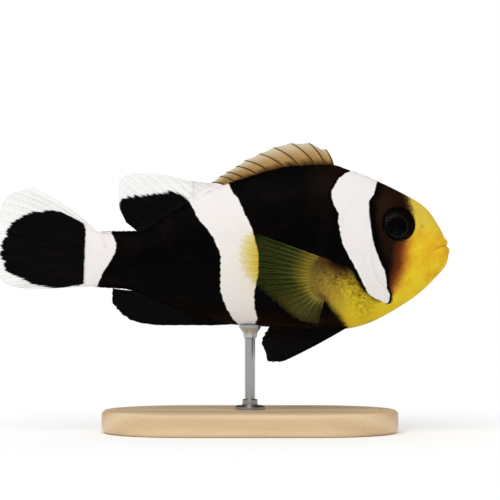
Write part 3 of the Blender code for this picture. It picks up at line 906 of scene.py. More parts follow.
def run_tree(thing, tree, spare, **given):
    """Runs the tree on an object with its named inputs, and returns the plain mesh it makes.

    spare names the attributes that only the tree needed."""
    modifier = thing.modifiers.new(tree.name, "NODES")
    modifier.node_group = tree
    for socket in tree.interface.items_tree:
        if socket.in_out == "INPUT" and socket.name in given:
            modifier[socket.identifier] = given[socket.name]
    bpy.context.view_layer.update()
    graph = bpy.context.evaluated_depsgraph_get()
    mesh = bpy.data.meshes.new_from_object(thing.evaluated_get(graph))
    thing.modifiers.remove(modifier)
    bpy.data.objects.remove(thing)
    for name in spare:
        if name in mesh.attributes:
            mesh.attributes.remove(mesh.attributes[name])
    return mesh


scales_tree = scale_tree()
print("scale tree nodes:", len(scales_tree.nodes))

# %% Set the scales
SEED_VALUES = ("plate_spot", "root_spot", "outward", "lie", "size")

scale_finish = skin_paint("scales", True)
for side, seeds in (("right", right_seeds), ("left", left_seeds)):
    cloud = point_cloud("seeds_" + side, seeds)
    coat = run_tree(cloud, scales_tree, SEED_VALUES, Plate=plate, Patch=PATCH, Finish=scale_finish)
    show("scales_" + side, coat, None, "fish_skin")
    print("scales", side, "faces:", len(coat.polygons))
bpy.data.objects.remove(plate)

# %% [markdown]
# ## Fins
#
# A real fin is a fan of stiff rays with skin between them, thinner than paper at its edge. The frame's
# fins are sturdy slabs that only hold the outline. Here each fin is a smooth surface asked for by two
# shares: how far across the fan, and how far out along a ray. The membrane and the rays read the same
# surface, so they can never drift apart. A hand-drawn mesh would have to be redone for every change of
# the outline.

# %% A fin's surface
FIN_SUNK = 0.3  # how deep a fin's root lies in the skin
SWAY = 0.35


def sway(x):
    """How far the fins' edges bend to the left, which keeps them from looking cut out of card."""
    return SWAY * np.sin(np.asarray(x, float) / 4.0)


def fin_surface(roots, tips, bows):
    """Points of a fin from a share across it and a share along its rays. A bow curves a ray forward."""
    keys = np.linspace(0.0, 1.0, len(roots))
    columns = np.column_stack((roots, tips, np.broadcast_to(bows, len(roots))))
    lines = [smooth_curve(keys, column) for column in columns.T]

    def at(across, along):
        across, along = np.broadcast_arrays(across, along)
        values = [line(across) for line in lines]
        root, tip, bow = np.stack(values[:3], -1), np.stack(values[3:6], -1), values[6]
        reach = tip - root
        droop = np.stack((-reach[..., 2] * bow, 0 * bow, reach[..., 0] * bow), -1)
        share = along[..., None]
        return root + reach * share + droop * share * (1 - share)

    return at


def median_fin(rays, bow, line, side):
    """A fin on the back (side 1) or the belly (side -1), from (root x, tip x, tip z) of each ray."""
    root_x, tip_x, tip_z = np.array(rays).T
    roots = np.column_stack((root_x, 0 * root_x, line(root_x) - side * FIN_SUNK))
    return fin_surface(roots, np.column_stack((tip_x, sway(tip_x), tip_z)), bow)


SPINY_DORSAL_RAYS = (
    (14.6, 13.25, 17.65), (13.3, 10.3, 18.8), (11.6, 7.2, 18.75), (8.75, 4.15, 18.0), (6.2, 1.65, 16.9),
    (3.4, -0.9, 15.7), (1.4, -2.4, 14.7), (-0.8, -4.1, 13.65), (-2.5, -5.3, 12.9), (-4.2, -6.7, 11.8),
)
SOFT_DORSAL_RAYS = (
    (-4.6, -7.2, 11.7), (-7.2, -11.2, 12.3), (-10.2, -16.0, 13.4), (-13.0, -20.4, 13.5),
    (-15.4, -23.05, 11.8), (-17.7, -23.1, 8.3), (-19.5, -21.8, 4.9),
)
ANAL_RAYS = (
    (-2.6, -6.0, -13.2), (-5.6, -10.6, -13.2), (-9.0, -15.6, -13.25), (-12.6, -20.4, -12.6),
    (-15.6, -23.2, -10.6), (-17.8, -24.35, -8.8), (-19.5, -24.2, -6.75),
)
spiny_dorsal = median_fin(SPINY_DORSAL_RAYS, -0.28, back_z, 1)
soft_dorsal = median_fin(SOFT_DORSAL_RAYS, -0.05, back_z, 1)
anal = median_fin(ANAL_RAYS, 0.05, belly_z, -1)
print("the spiny fin's tallest tip:", spiny_dorsal(0.33, 1.0).round(1))

# %% The tail and the paired fins
TAIL_RAYS = (  # (root z, tip x, tip z)
    (3.2, -38.4, 11.0), (2.2, -42.4, 9.7), (0.7, -44.4, 6.0), (-1.5, -45.0, 0.8), (-3.6, -44.6, -3.2),
    (-5.2, -42.8, -6.0), (-6.2, -39.4, -6.9),
)
TAIL_TOP_BOW = -0.2
PELVIC_RAYS = (  # (root x, tip x, tip z)
    (16.6, 5.7, -19.4), (15.9, 3.5, -19.6), (15.0, 2.3, -18.1), (14.0, 2.0, -16.4), (12.8, 2.3, -14.7),
    (11.6, 3.3, -13.45),
)
PELVIC_ROOT_Y, PELVIC_SPLAY = 1.5, 0.55
PECTORAL_RAYS = (  # (root x, root z, tip x, tip z)
    (12.8, -1.5, -0.6, 3.35), (11.8, -2.6, -2.25, 1.5), (11.1, -3.8, -2.4, -1.6), (10.8, -5.0, -1.0, -4.8),
    (10.8, -6.1, 2.3, -7.6), (11.1, -7.2, 5.2, -10.0), (11.8, -8.1, 8.0, -12.2), (12.8, -8.6, 11.6, -13.3),
)
PECTORAL_SPLAY = math.tan(math.radians(17))
PECTORAL_TUCK = 0.08
PECTORAL_STAND = 0.5  # how far the fin stands off the plain flank where it is rooted
PECTORAL_FOOT = 0.06  # how high its foot lies on the fleshy lobe
PECTORAL_LIFT = 0.2  # how much higher it lies just behind the foot


def tail_fin():
    root_z, tip_x, tip_z = np.array(TAIL_RAYS).T
    roots = np.column_stack((0 * root_z + STALK_END_X + 0.2, 0 * root_z, root_z))
    tips = np.column_stack((tip_x, 2 * sway(tip_z), tip_z))
    return fin_surface(roots, tips, np.linspace(TAIL_TOP_BOW, 0.0, len(root_z)))


def pelvic_fin(side):
    root_x, tip_x, tip_z = np.array(PELVIC_RAYS).T
    root_z = belly_z(root_x) + FIN_SUNK
    tip_y = side * (PELVIC_ROOT_Y + np.maximum(root_z - tip_z, 0.0) * PELVIC_SPLAY)
    roots = np.column_stack((root_x, 0 * root_x + side * PELVIC_ROOT_Y, root_z))
    return fin_surface(roots, np.column_stack((tip_x, tip_y, tip_z)), np.linspace(0.06, 0.0, len(root_x)))


def pectoral_fin(side):
    """A fin that leans out from the flank. Its foot lies close on the fleshy lobe."""
    root_x, root_z, tip_x, tip_z = np.array(PECTORAL_RAYS).T
    length = np.hypot(tip_x - root_x, tip_z - root_z)
    root_y = half_width(root_x, root_z) + PECTORAL_STAND
    tip_y = root_y + length * (PECTORAL_SPLAY - PECTORAL_TUCK)
    roots = np.column_stack((root_x, side * root_y, root_z))
    fan = fin_surface(roots, np.column_stack((tip_x, side * tip_y, tip_z)), 0.0)

    def at(across, along):
        points = fan(across, along)
        x, z = points[..., 0], points[..., 2]
        share = np.broadcast_to(along, x.shape)
        free = fade(share, -0.02, 0.16)
        if free.min() < 1:
            stand = PECTORAL_FOOT + PECTORAL_LIFT * fade(share, 0.0, 0.07)
            lobe = half_width(x, z) + lobe_relief(x, z) - COAT_DEPTH + stand
            points[..., 1] = side * (lobe + (np.abs(points[..., 1]) - lobe) * free)
        return points

    return at


tail = tail_fin()
pelvics = {"right": pelvic_fin(-1), "left": pelvic_fin(1)}
pectorals = {"right": pectoral_fin(-1), "left": pectoral_fin(1)}
print("the right pectoral's tip:", pectorals["right"](0.3, 1.0).round(1))

# %% [markdown]
# ## Membranes
#
# A membrane is a closed sheet, two grids back to back joined round the rim. It folds a little at each
# ray, as skin does between the ribs of an umbrella, and it thins to the edge. Solidify could thicken a
# single grid, but here the thickness has to change along the ray, and that takes one line of arithmetic.

# %% Make a membrane
STEPS_TO_A_RAY = 6
STEPS_ALONG = 30
FOOT_THICK, EDGE_THICK = 0.2, 0.05


def pleated(surface, rays, fold, swell=None):
    """The same fin with a pleat at each ray. It also gives the fin's normals and any swelling of its foot."""
    step = 1e-3

    def at(across, along):
        across, along = np.broadcast_arrays(across, along)
        points = surface(across, along)
        inside = np.where(across > 0.5, -step, step)
        sideways = (surface(across + inside, along) - points) * np.sign(inside)[..., None]
        normals = unit(np.cross(sideways, surface(across, along + step) - points))
        depth = fold * np.cos(2 * np.pi * across * (rays - 1)) * fade(along, 0.0, 0.35)
        thick = swell(points) if swell else 0.0 * along
        return points + normals * depth[..., None], normals, thick

    return at


def sheet_faces(across, along):
    """Faces of two grids of the same size back to back, closed round the rim."""
    side = across * along
    faces = []
    for i in range(across - 1):
        for k in range(along - 1):
            a, b = i * along + k, (i + 1) * along + k
            faces.append((a, b, b + 1, a + 1))
            faces.append((side + a, side + a + 1, side + b + 1, side + b))
    rim = [i * along for i in range(across)] + [(across - 1) * along + k for k in range(1, along)]
    rim += [i * along + along - 1 for i in range(across - 2, -1, -1)] + list(range(along - 2, 0, -1))
    for here, there in zip(rim, rim[1:] + rim[:1]):
        faces.append((here, there, there + side, here + side))
    return faces


def membrane(name, surface, rays, edge, foot=-0.12):
    """The skin of a fin. edge gives how far out it reaches for a share across."""
    across = np.linspace(0.0, 1.0, (rays - 1) * STEPS_TO_A_RAY + 1)[:, None]
    out = np.linspace(0.0, 1.0, STEPS_ALONG)[None, :]
    reach = foot + (edge(across) - foot) * out
    points, normals, swelling = surface(across + 0 * reach, reach)
    half = (FOOT_THICK + (EDGE_THICK - FOOT_THICK) * out) / 2 + swelling
    sheets = [points + normals * (side * half)[..., None] for side in (1, -1)]
    verts = to_frame(np.concatenate(sheets).reshape(-1, 3)).tolist()
    mesh = fresh_mesh(name, verts, sheet_faces(*reach.shape))
    at = np.stack((across * (rays - 1) + 0 * reach, reach, 0 * reach), -1).reshape(-1, 3)
    mark(mesh, "fin_at", np.concatenate((at, at)))
    return mesh


def ragged(rays, dip, tatter, seed, first_dip=0.0):
    """An edge that dips between rays, more so behind the first, and is a little torn."""
    worn = np.random.default_rng(seed).uniform(-1.0, 1.0, 4 * rays)

    def edge(across):
        between = (1 - np.cos(2 * np.pi * across * (rays - 1))) / 2
        torn = np.interp(across, np.linspace(0.0, 1.0, 4 * rays), worn)
        deep = dip + first_dip * (across * (rays - 1) < 1)
        return 1.0 - deep * between + tatter * (torn - 1.0) / 2

    return edge


print("faces of a 15-ray membrane:", len(sheet_faces(14 * STEPS_TO_A_RAY + 1, STEPS_ALONG)))

# %% [markdown]
# ## Rays
#
# A soft ray is a stem that forks, and forks again, into ever finer twigs, while a spine is one stiff
# point. Both are lines on the fin's surface with a thickness that shrinks outwards. Turning lines into
# tubes is what Geometry Nodes do best: one tree sweeps a small circle along every line at once. A
# bevelled curve could do it too, but would need an object for each twig.

# %% Lines of the rays
FORK_SPREAD = (0.0, 0.19, 0.095)  # of the gap between rays, at each fork
FORK_RADIUS = (1.0, 0.66, 0.46)
RAY_SIDES = 6


def ray_lines(surface, rays, edge, forks, radius, tip=0.25, foot=-0.1):
    """Lines of a fan of rays: for each, its points, its radii and where on the fin it runs."""
    lines = []

    def grow(centre, offset, level, ends):
        start, end = ends[level], ends[level + 1]
        last = level == len(ends) - 2
        for turn in (0,) if level == 0 else (-1, 1):
            aim = offset + turn * FORK_SPREAD[level]
            along = np.linspace(start, end, 14 if level == 0 else 9)
            turned = fade(along, start, start + 0.7 * (end - start))
            across = np.clip((centre + offset + (aim - offset) * turned) / (rays - 1), 0.0, 1.0)
            full = radius * FORK_RADIUS[level]
            finer = radius * (tip if last else FORK_RADIUS[level + 1])
            reach = along * (edge(across) if last else 1.0)
            thick = full + (finer - full) * (along - start) / (end - start)
            at = np.column_stack((across * (rays - 1), reach, 0 * reach))
            lines.append((surface(across, reach)[0], thick, at))
            if not last:
                grow(centre, aim, level + 1, ends)

    for i in range(rays):
        at_border = i in (0, rays - 1)
        grow(float(i), 0.0, 0, (foot, 1.0) if at_border else (foot, *forks, 1.0))
    return lines


def line_cloud(name, lines):
    """One mesh of loose lines, with each point's radius and place on the fin."""
    counts = [len(points) for points, _, _ in lines]
    starts = np.cumsum([0] + counts)
    edges = [(s + k, s + k + 1) for s, count in zip(starts, counts) for k in range(count - 1)]
    mesh = bpy.data.meshes.new(name)
    mesh.from_pydata(to_frame(np.concatenate([points for points, _, _ in lines])).tolist(), edges, [])
    mark(mesh, "ray_radius", np.concatenate([thick for _, thick, _ in lines]))
    mark(mesh, "fin_at", np.concatenate([at for _, _, at in lines]))
    return put(name, mesh)


def ray_tree():
    grow = Growth("sweep_rays", Sides="Int", Unit="Float")
    lines = grow.add("GeometryNodeMeshToCurve", {"Mesh": grow.given["Geometry"]})
    ring = {"Resolution": grow.given["Sides"], "Radius": grow.given["Unit"]}
    tube = {"Curve": lines, "Profile Curve": grow.add("GeometryNodeCurvePrimitiveCircle", ring)}
    tube.update({"Scale": grow.named("ray_radius", "FLOAT"), "Fill Caps": True})
    tubes = grow.add("GeometryNodeCurveToMesh", tube)
    smooth = grow.add("GeometryNodeSetShadeSmooth", {"Geometry": tubes})
    return grow.finish(grow.add("GeometryNodeRealizeInstances", {"Geometry": smooth}))


sweep = ray_tree()
twigs = ray_lines(pleated(tail, 15, 0.0), 15, lambda across: 1.0, (0.4, 0.7), 0.15)
print("lines in a forked fan of 15:", len(twigs))

# %% [markdown]
# ## Fin finishes
#
# Live fin skin is clear where it holds no pigment, so the white edges let the light through and the black
# parts don't. One colour and one see-through share are worked out for each fin, from the place on the
# fish for the outline of the black and from the place on the fin for streaks that follow the rays.

# %% Paint the fins
TAIL_FOCUS_X, TAIL_FOCUS_Z = -22.0, -1.0  # the tail's rays point back to here
TAIL_BLACK_REAR = (  # (a ray's slope from the focus, x where its black ends)
    (-0.7, -28.0), (-0.67, -29.6), (-0.59, -31.0), (-0.52, -32.9), (-0.415, -35.5), (-0.28, -38.6),
    (-0.19, -40.8), (-0.14, -42.4), (-0.06, -43.2), (0.01, -43.65), (0.084, -43.55), (0.15, -43.1),
    (0.25, -42.1), (0.31, -41.3), (0.4, -39.4), (0.5, -37.4), (0.57, -35.9), (0.635, -34.5),
    (0.69, -33.0), (0.73, -31.2), (0.77, -29.9), (0.8, -28.0),
)
SOFT_BLACK_TOP = (
    (-24.0, 7.6), (-22.6, 8.65), (-20.6, 9.55), (-18.0, 9.65), (-15.9, 9.95), (-13.6, 10.25), (-12.4, 9.9),
    (-11.3, 9.35), (-10.6, 8.7), (-9.9, 6.9), (-9.0, 2.0),
)
FIN_WHITE = ink(236, 237, 233)
FIN_BLACK, FIN_BROWN = ink(4, 3, 3), ink(19, 12, 8)
TAN, PALE_TAN, BROWN_TAN = ink(184, 150, 96), ink(212, 196, 166), ink(144, 100, 34)
SPINE_BROWN, SPINE_FOOT = ink(88, 70, 34), ink(70, 48, 18)
FRINGE_BROWN, BESIDE_BROWN = ink(98, 66, 22), ink(140, 104, 50)


def on_fin(paint):
    """Where a point is on its fin: across counted in rays, and the reach out along them."""
    across, reach, _ = paint.parts(paint.attribute("fin_at"))
    return across, reach


def streaks(paint, across, reach, fineness, length):
    """Noise drawn out along the rays."""
    return paint.noise(paint.vector(across * fineness, reach * length), 1.0, 2.0, 0.6)


def fin_bump(paint, across, reach, depth):
    fine = streaks(paint, across, reach, 9.0, 14.0)
    return paint.bump(fine + 0.5, depth)


def black_white_fin(name, black_of, is_ray):
    """A fin finish with opaque black and clear white. black_of tells where the black is."""
    paint = Paint(name)
    x, _, height = paint.parts(paint.place())
    across, reach = on_fin(paint)
    feather = streaks(paint, across, reach, 2.2, 2.0)
    black, solid = black_of(x, height - AXIS_HEIGHT, feather)
    streak = streaks(paint, across, reach, 3.1, 1.5)
    dark = paint.mix((streak + 0.1).rise(0.0, 0.5) * 0.8, FIN_BLACK, FIN_BROWN)
    colour = paint.mix(black, FIN_WHITE, dark)
    colour = paint.mix((1 - black) * solid, colour, WHITE)
    film = (0.55 if is_ray else 0.42) - reach * (0.2 if is_ray else 0.16)
    foot = 1 - (reach + streak * 0.05).rise(0.02, 0.3)
    alpha = black.most(solid).most(film.most(foot))
    normal = fin_bump(paint, across, reach, 0.03)
    surface = paint.solid(colour, streak * 0.1 + 0.5, normal, Specular_IOR_Level=0.04)
    return paint.end(paint.blend(alpha, paint.clear(), surface))


def tail_black(x, z, feather):
    slope = (z - TAIL_FOCUS_Z) / (TAIL_FOCUS_X - x)
    rear = x - slope.through(TAIL_BLACK_REAR, -46.0, -28.0) + feather * 2.4
    front = z * 0.04 + TAIL_BLACK_FRONT_X - x - (z - 3.6).most(0.0) * 0.4 + feather * 0.4
    stalk = x - z.through(STALK_BAND_FRONT, -28.0, -22.0)
    black = (rear.rise(-0.3, 0.25) * front.rise(-0.1, 0.2)).most(stalk.rise(-0.15, 0.1))
    return black, (x - TAIL_BLACK_FRONT_X).rise(-0.8, 0.3)


def soft_dorsal_black(x, z, feather):
    top = x.through(SOFT_BLACK_TOP, 0.0, 11.0) - z + feather * 1.9
    return top.rise(-0.3, 0.25) * (x + 23.0).rise(-0.2, 0.3), x.rise(-11.0, -9.4)


def all_black(x, z, feather):
    return feather * 0.0 + 1.0, 0.0


def spiny_finish(name, is_ray):
    """Tan skin, browner at the foot and paler at the edge, with dark spines."""
    paint = Paint(name)
    across, reach = on_fin(paint)
    blotch = streaks(paint, across, reach, 0.9, 2.2)
    foot = (reach + blotch * 0.5).rise(-0.05, 0.6)
    colour = paint.mix(foot, BROWN_TAN, TAN)
    colour = paint.mix((across + blotch).rise(4.5, 8.0) * 0.5, colour, BROWN_TAN)
    colour = paint.mix((reach + blotch * 0.2).rise(0.45, 1.0), colour, PALE_TAN)
    if is_ray:
        colour = paint.mix(reach.rise(0.1, 0.6), SPINE_FOOT, SPINE_BROWN)
    else:
        beside = ((across * (2 * math.pi)).maths("COSINE") + blotch).rise(0.2, 1.3)
        colour = paint.mix(beside * (1 - reach.rise(0.3, 1.1)) * 0.6, colour, BESIDE_BROWN)
    feathering = streaks(paint, across, reach, 3.0, 1.0)
    root = reach + feathering * 0.3
    colour = paint.mix(1 - root.rise(0.1, 0.3), colour, FRINGE_BROWN)
    soot = 1 - root.rise(0.0, 0.16)
    colour = paint.mix(soot, colour, BLACK)
    surface = paint.solid(colour, 0.5, fin_bump(paint, across, reach, 0.04), Specular_IOR_Level=0.1)
    if not is_ray:
        surface = paint.blend((1 - reach * 0.25).most(soot), paint.clear(), surface)
    return paint.end(surface)


print("black runs back to x =", TAIL_BLACK_REAR[6][1])

# %% Paint the pectoral fins
PECTORAL_TINT = ink(255, 243, 150)
OLIVE_GREEN, RAY_GREEN = ink(64, 90, 64), ink(124, 134, 92)
RAY_YELLOW, RAY_OCHRE = ink(162, 148, 60), ink(126, 120, 56)
FOOT_YELLOW, FOOT_BROWN = ink(138, 118, 44), ink(84, 58, 26)
# How much each face of the fin hides, for the reach along a ray.
SKIN_FILM = (
    (-0.12, 0.0), (-0.05, 0.3), (0.03, 0.6), (0.12, 0.32), (0.24, 0.17), (0.5, 0.11), (0.8, 0.08),
    (0.93, 0.04), (1.05, 0.0),
)
RAY_FILM = (
    (-0.12, 0.0), (-0.06, 0.3), (0.03, 0.85), (0.15, 0.56), (0.3, 0.34), (0.55, 0.2), (0.8, 0.1),
    (0.93, 0.04), (1.05, 0.0),
)


def pectoral_finish(name, is_ray):
    """Yellow-green film that tints what is behind it, denser and yellower at the foot, clear at the tips."""
    paint = Paint(name)
    across, reach = on_fin(paint)
    streak = streaks(paint, across, reach, 2.0, 2.0)
    _, _, height = paint.parts(paint.place())
    foot = paint.mix((height - AXIS_HEIGHT + streak * 2).rise(-5.0, -1.5), FOOT_YELLOW, FOOT_BROWN)
    near = paint.mix((reach + streak * 0.1).rise(0.02, 0.14), foot, RAY_YELLOW)
    far = paint.mix(across.rise(8.0, 13.0), RAY_GREEN if is_ray else OLIVE_GREEN, RAY_OCHRE)
    colour = paint.mix((reach + streak * 0.2).rise(0.08, 0.4), near, far)
    film = (reach + streak * 0.1).through(RAY_FILM if is_ray else SKIN_FILM, 0.0, 1.0)
    film = film * (1 - (across + streak * 2.0).rise(14.0, 17.5) * 0.6)
    worn = ((reach + streak * 0.12 - 0.7) * 3.5).most(0.0).least(1.0)
    clearness = worn.most(1 - reach.rise(0.02, 0.12)).most(across.rise(9.0, 14.0))
    behind = paint.blend(clearness, paint.clear(PECTORAL_TINT), paint.clear())
    skin = paint.solid(colour, 0.5, fin_bump(paint, across, reach, 0.03), Specular_IOR_Level=0.05)
    return paint.end(paint.blend(film, behind, skin))


print("pectoral tint:", [round(c, 2) for c in PECTORAL_TINT[:3]])

# %% Make the fins
def make_fin(name, surface, slot, look, rays, forks, radius, edge, fold, tip=0.3, swell=None):
    """A membrane that stands for the frame's slab of the same name, and the rays that stiffen it."""
    skin, rods = look
    surface, edge = pleated(surface, rays, fold, swell), ragged(rays, *edge)
    show(name + "_membrane", membrane(name, surface, rays, edge), skin, slot, name)
    lines = line_cloud(name + "_rays", ray_lines(surface, rays, edge, forks, radius, tip))
    fan = run_tree(lines, sweep, ("ray_radius",), Sides=RAY_SIDES, Unit=MM, Finish=rods)
    show(name + "_rays", fan, None, slot)
    print(name, "rays:", rays, "faces:", len(fan.polygons))


def finish_pair(maker, *given):
    return [maker(f"{given[0]}_{kind}", *given[1:], kind == "rays") for kind in ("skin", "rays")]


def fillet(line, side, thick, rise):
    """Flesh that runs up the foot of a fin on the back (side 1) or the belly (side -1)."""
    return lambda points: thick * (1 - fade((points[..., 2] - line(points[..., 0])) * side, -0.3, rise)) ** 2


def tail_swell(points):
    """The stalk's flesh runs out over the foot of the tail."""
    behind = STALK_END_X - points[..., 0]
    height = np.clip(points[..., 2], belly_z(STALK_END_X), back_z(STALK_END_X))
    return half_width(np.full(behind.shape, STALK_END_X), height) * (1 - fade(behind, -0.6, 3.4)) ** 1.5


tail_look = finish_pair(black_white_fin, "tail", tail_black)
soft_look = finish_pair(black_white_fin, "soft_dorsal", soft_dorsal_black)
black_look = finish_pair(black_white_fin, "black_fin", all_black)
spiny_look = finish_pair(spiny_finish, "spiny_dorsal")
pectoral_look = finish_pair(pectoral_finish, "pectoral")
spines = len(SPINY_DORSAL_RAYS)

# name, surface, slot, look, rays, forks, radius, the edge's dip, tatter and seed, fold, tip, swelling
FINS = [
    ("tail_fin", tail, "fin_black", tail_look, 17, (0.34, 0.62), 0.15, (0.01, 0.012, 3), 0.05,
     0.3, tail_swell),
    ("dorsal_fin_soft", soft_dorsal, "fin_black", soft_look, 15, (0.4, 0.68), 0.13, (0.012, 0.015, 4), 0.05,
     0.3, fillet(back_z, 1, 0.36, 0.9)),
    ("dorsal_fin_spiny", spiny_dorsal, "fin_tan", spiny_look, spines, (), 0.2, (0.05, 0.01, 5, 0.16), 0.06,
     0.45, fillet(back_z, 1, 0.2, 0.5)),
    ("anal_fin", anal, "fin_black", black_look, 14, (0.4, 0.7), 0.14, (0.02, 0.03, 6), 0.05,
     0.3, fillet(belly_z, -1, 0.36, 0.9)),
]
for side in ("right", "left"):
    FINS.append(("pelvic_fin_" + side, pelvics[side], "fin_black", black_look, 7, (0.3, 0.6), 0.16,
                 (0.0, 0.05, 7), 0.08))
    FINS.append(("pectoral_fin_" + side, pectorals[side], "fin_olive", pectoral_look, 18, (0.3, 0.6), 0.1,
                 (0.05, 0.04, 8), 0.05))
for fin in FINS:
    make_fin(*fin)

# %% [markdown]
# ## Eyes
#
# A model maker sets glass eyes: a painted disc behind a clear dome. Two turned shapes do the same here.
# The inner one holds a black pupil with a fine brown ring, painted by the distance from the pupil's own
# centre, and a dark iris round it. The outer one is the clear cornea, which gives a faint wet glint. One
# glossy black ball would glint as well, but looked at closely it has no depth.

# %% Turned shapes
def turned(name, profile, sides, centre, axis):
    """Turns (radius, height) points about an axis through centre. A radius of 0 closes the shape."""
    axis = np.asarray(axis, float) / np.linalg.norm(axis)
    across = unit(np.cross(axis, (0.0, 0.0, 1.0) if abs(axis[2]) < 0.9 else (1.0, 0.0, 0.0)))
    up = np.cross(across, axis)
    angles = 2 * np.pi * np.arange(sides) / sides
    spokes = np.cos(angles)[:, None] * across + np.sin(angles)[:, None] * up
    verts, radii, rings = [], [], []
    for radius, height in profile:
        count = sides if radius > 0 else 1
        rings.append([len(verts) + k for k in range(count)])
        verts += [np.asarray(centre) + axis * height + spokes[k] * radius for k in range(count)]
        radii += [radius] * count
    faces = []
    for near, far in zip(rings, rings[1:]):
        for k in range(sides):
            after = k + 1
            quad = (near[k % len(near)], near[after % len(near)], far[after % len(far)], far[k % len(far)])
            faces.append(tuple(dict.fromkeys(quad)))
    mesh = fresh_mesh(name, to_frame(verts).tolist(), faces)
    mark(mesh, "turned_radius", radii)
    return mesh


EYE_SIDES, ROD_SIDES = 64, 48
print("sides to an eye:", EYE_SIDES, "and to the rod:", ROD_SIDES)

# %% Set the eyes
EYE_RADIUS, EYE_HALF_DEPTH, EYE_SUNK = 3.3, 1.7, 0.75
PUPIL, IRIS_RIM, IRIS = 1.8, 2.02, 2.75
PUPIL_X, PUPIL_Z = 25.5, 4.15
EYE_BLACK, EYE_BROWN, EYE_RING = ink(5, 3, 2), ink(16, 11, 7), ink(32, 22, 14)
CORNEA_THICK = 0.12
FAINTEST_GLINT = 0.002
DOME_STEPS = 18


def eye_seat(side):
    """The eye's centre and its axis, square to the flank there."""
    step = 0.4
    wide = half_width(np.array([EYE_X, EYE_X + step, EYE_X]), np.array([EYE_Z, EYE_Z, EYE_Z + step]))
    axis = np.array((-(wide[1] - wide[0]) / step, side, -(wide[2] - wide[0]) / step))
    axis /= np.linalg.norm(axis)
    return np.array((EYE_X, side * wide[0], EYE_Z)) - EYE_SUNK * axis, axis


def dome(radius, depth, out_to):
    """Points of an oval dome from its top out to a share of its radius."""
    turn = np.linspace(0.0, math.asin(out_to), DOME_STEPS)
    return [(float(radius * math.sin(a)), float(depth * math.cos(a))) for a in turn]


def eye_paint():
    paint = Paint("eye_iris")
    rim = Value(paint, paint.attribute("turned_radius", "Fac"))
    place = paint.place()
    x, _, height = paint.parts(place)
    from_pupil = paint.vector(x - PUPIL_X, height - AXIS_HEIGHT - PUPIL_Z)
    length = paint.node("ShaderNodeVectorMath", {"operation": "LENGTH"}, {0: from_pupil})
    grain = paint.noise(place, 1.6, 3.0, 0.6)
    edge = Value(paint, length.outputs[1]) + grain * 0.12
    iris = paint.mix((grain + 0.1).rise(0.0, 0.4), EYE_BLACK, EYE_BROWN)
    colour = paint.mix(edge.rise(PUPIL - 0.1, PUPIL + 0.06), BLACK, EYE_RING)
    colour = paint.mix(edge.rise(IRIS_RIM - 0.14, IRIS_RIM + 0.16), colour, iris)
    colour = paint.mix((rim + grain * 0.12).rise(IRIS - 0.5, IRIS + 0.05), colour, EYE_BLACK)
    return paint.end(paint.solid(colour, 0.5, paint.bump(grain + 0.5, 0.02), Specular_IOR_Level=0.02))


def cornea_paint():
    paint = Paint("cornea")
    rim = Value(paint, paint.node("ShaderNodeFresnel", None, {"IOR": 1.33}).outputs[0])
    glint = paint.node("ShaderNodeBsdfGlossy", None, {"Roughness": 0.04}).outputs[0]
    return paint.end(paint.blend((rim * 0.3).least(FAINTEST_GLINT), paint.clear(), glint))


ball = [(0.0, 1.12), (0.9, 1.1), (1.5, 1.05), (2.0, 0.97), (2.4, 0.87), (IRIS, 0.74)]
ball += [(IRIS + 0.2, 0.56), (IRIS + 0.3, 0.3), (IRIS, -0.5), (1.6, -1.2), (0.0, -1.4)]
cap = dome(EYE_RADIUS, EYE_HALF_DEPTH, 0.96)
cap += dome(EYE_RADIUS - CORNEA_THICK, EYE_HALF_DEPTH - CORNEA_THICK, 0.96)[::-1]
iris_look, cornea_look = eye_paint(), cornea_paint()
for side, name in ((-1, "eye_right"), (1, "eye_left")):
    seat = eye_seat(side)
    show(name + "_iris", turned("iris", ball, EYE_SIDES, *seat), iris_look, "eye", name)
    show(name + "_cornea", turned("cornea", cap, EYE_SIDES, *seat), cornea_look, "eye")
    print(name, "sits at", seat[0].round(2))

# %% [markdown]
# ## The stand
#
# A swimming fish has nothing to rest on, so it is held on a steel rod in a plate of pale maple. The frame's
# plate and rod have the right size. These pieces only soften the edges, add the collar and the cup that a
# maker would fit, and give wood and brushed steel their grain.

# %% Build the stand
base_low, base_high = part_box("stand_base")
rod_low, rod_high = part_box("stand_rod")
PLATE_EDGE, PLATE_SIDES = 0.9, 160
PLATE_GROOVE = (  # (inset from the rim, depth)
    (2.6, 0.0), (2.75, 0.14), (2.95, 0.2), (3.15, 0.14), (3.3, 0.0), (8.0, 0.0),
)
BELLY_CUP = 1.9
MAPLE, DARK_MAPLE, PORE_BROWN = ink(222, 196, 158), ink(198, 166, 124), ink(150, 116, 80)
STEEL, PALE_STEEL = ink(176, 178, 182), ink(206, 208, 210)


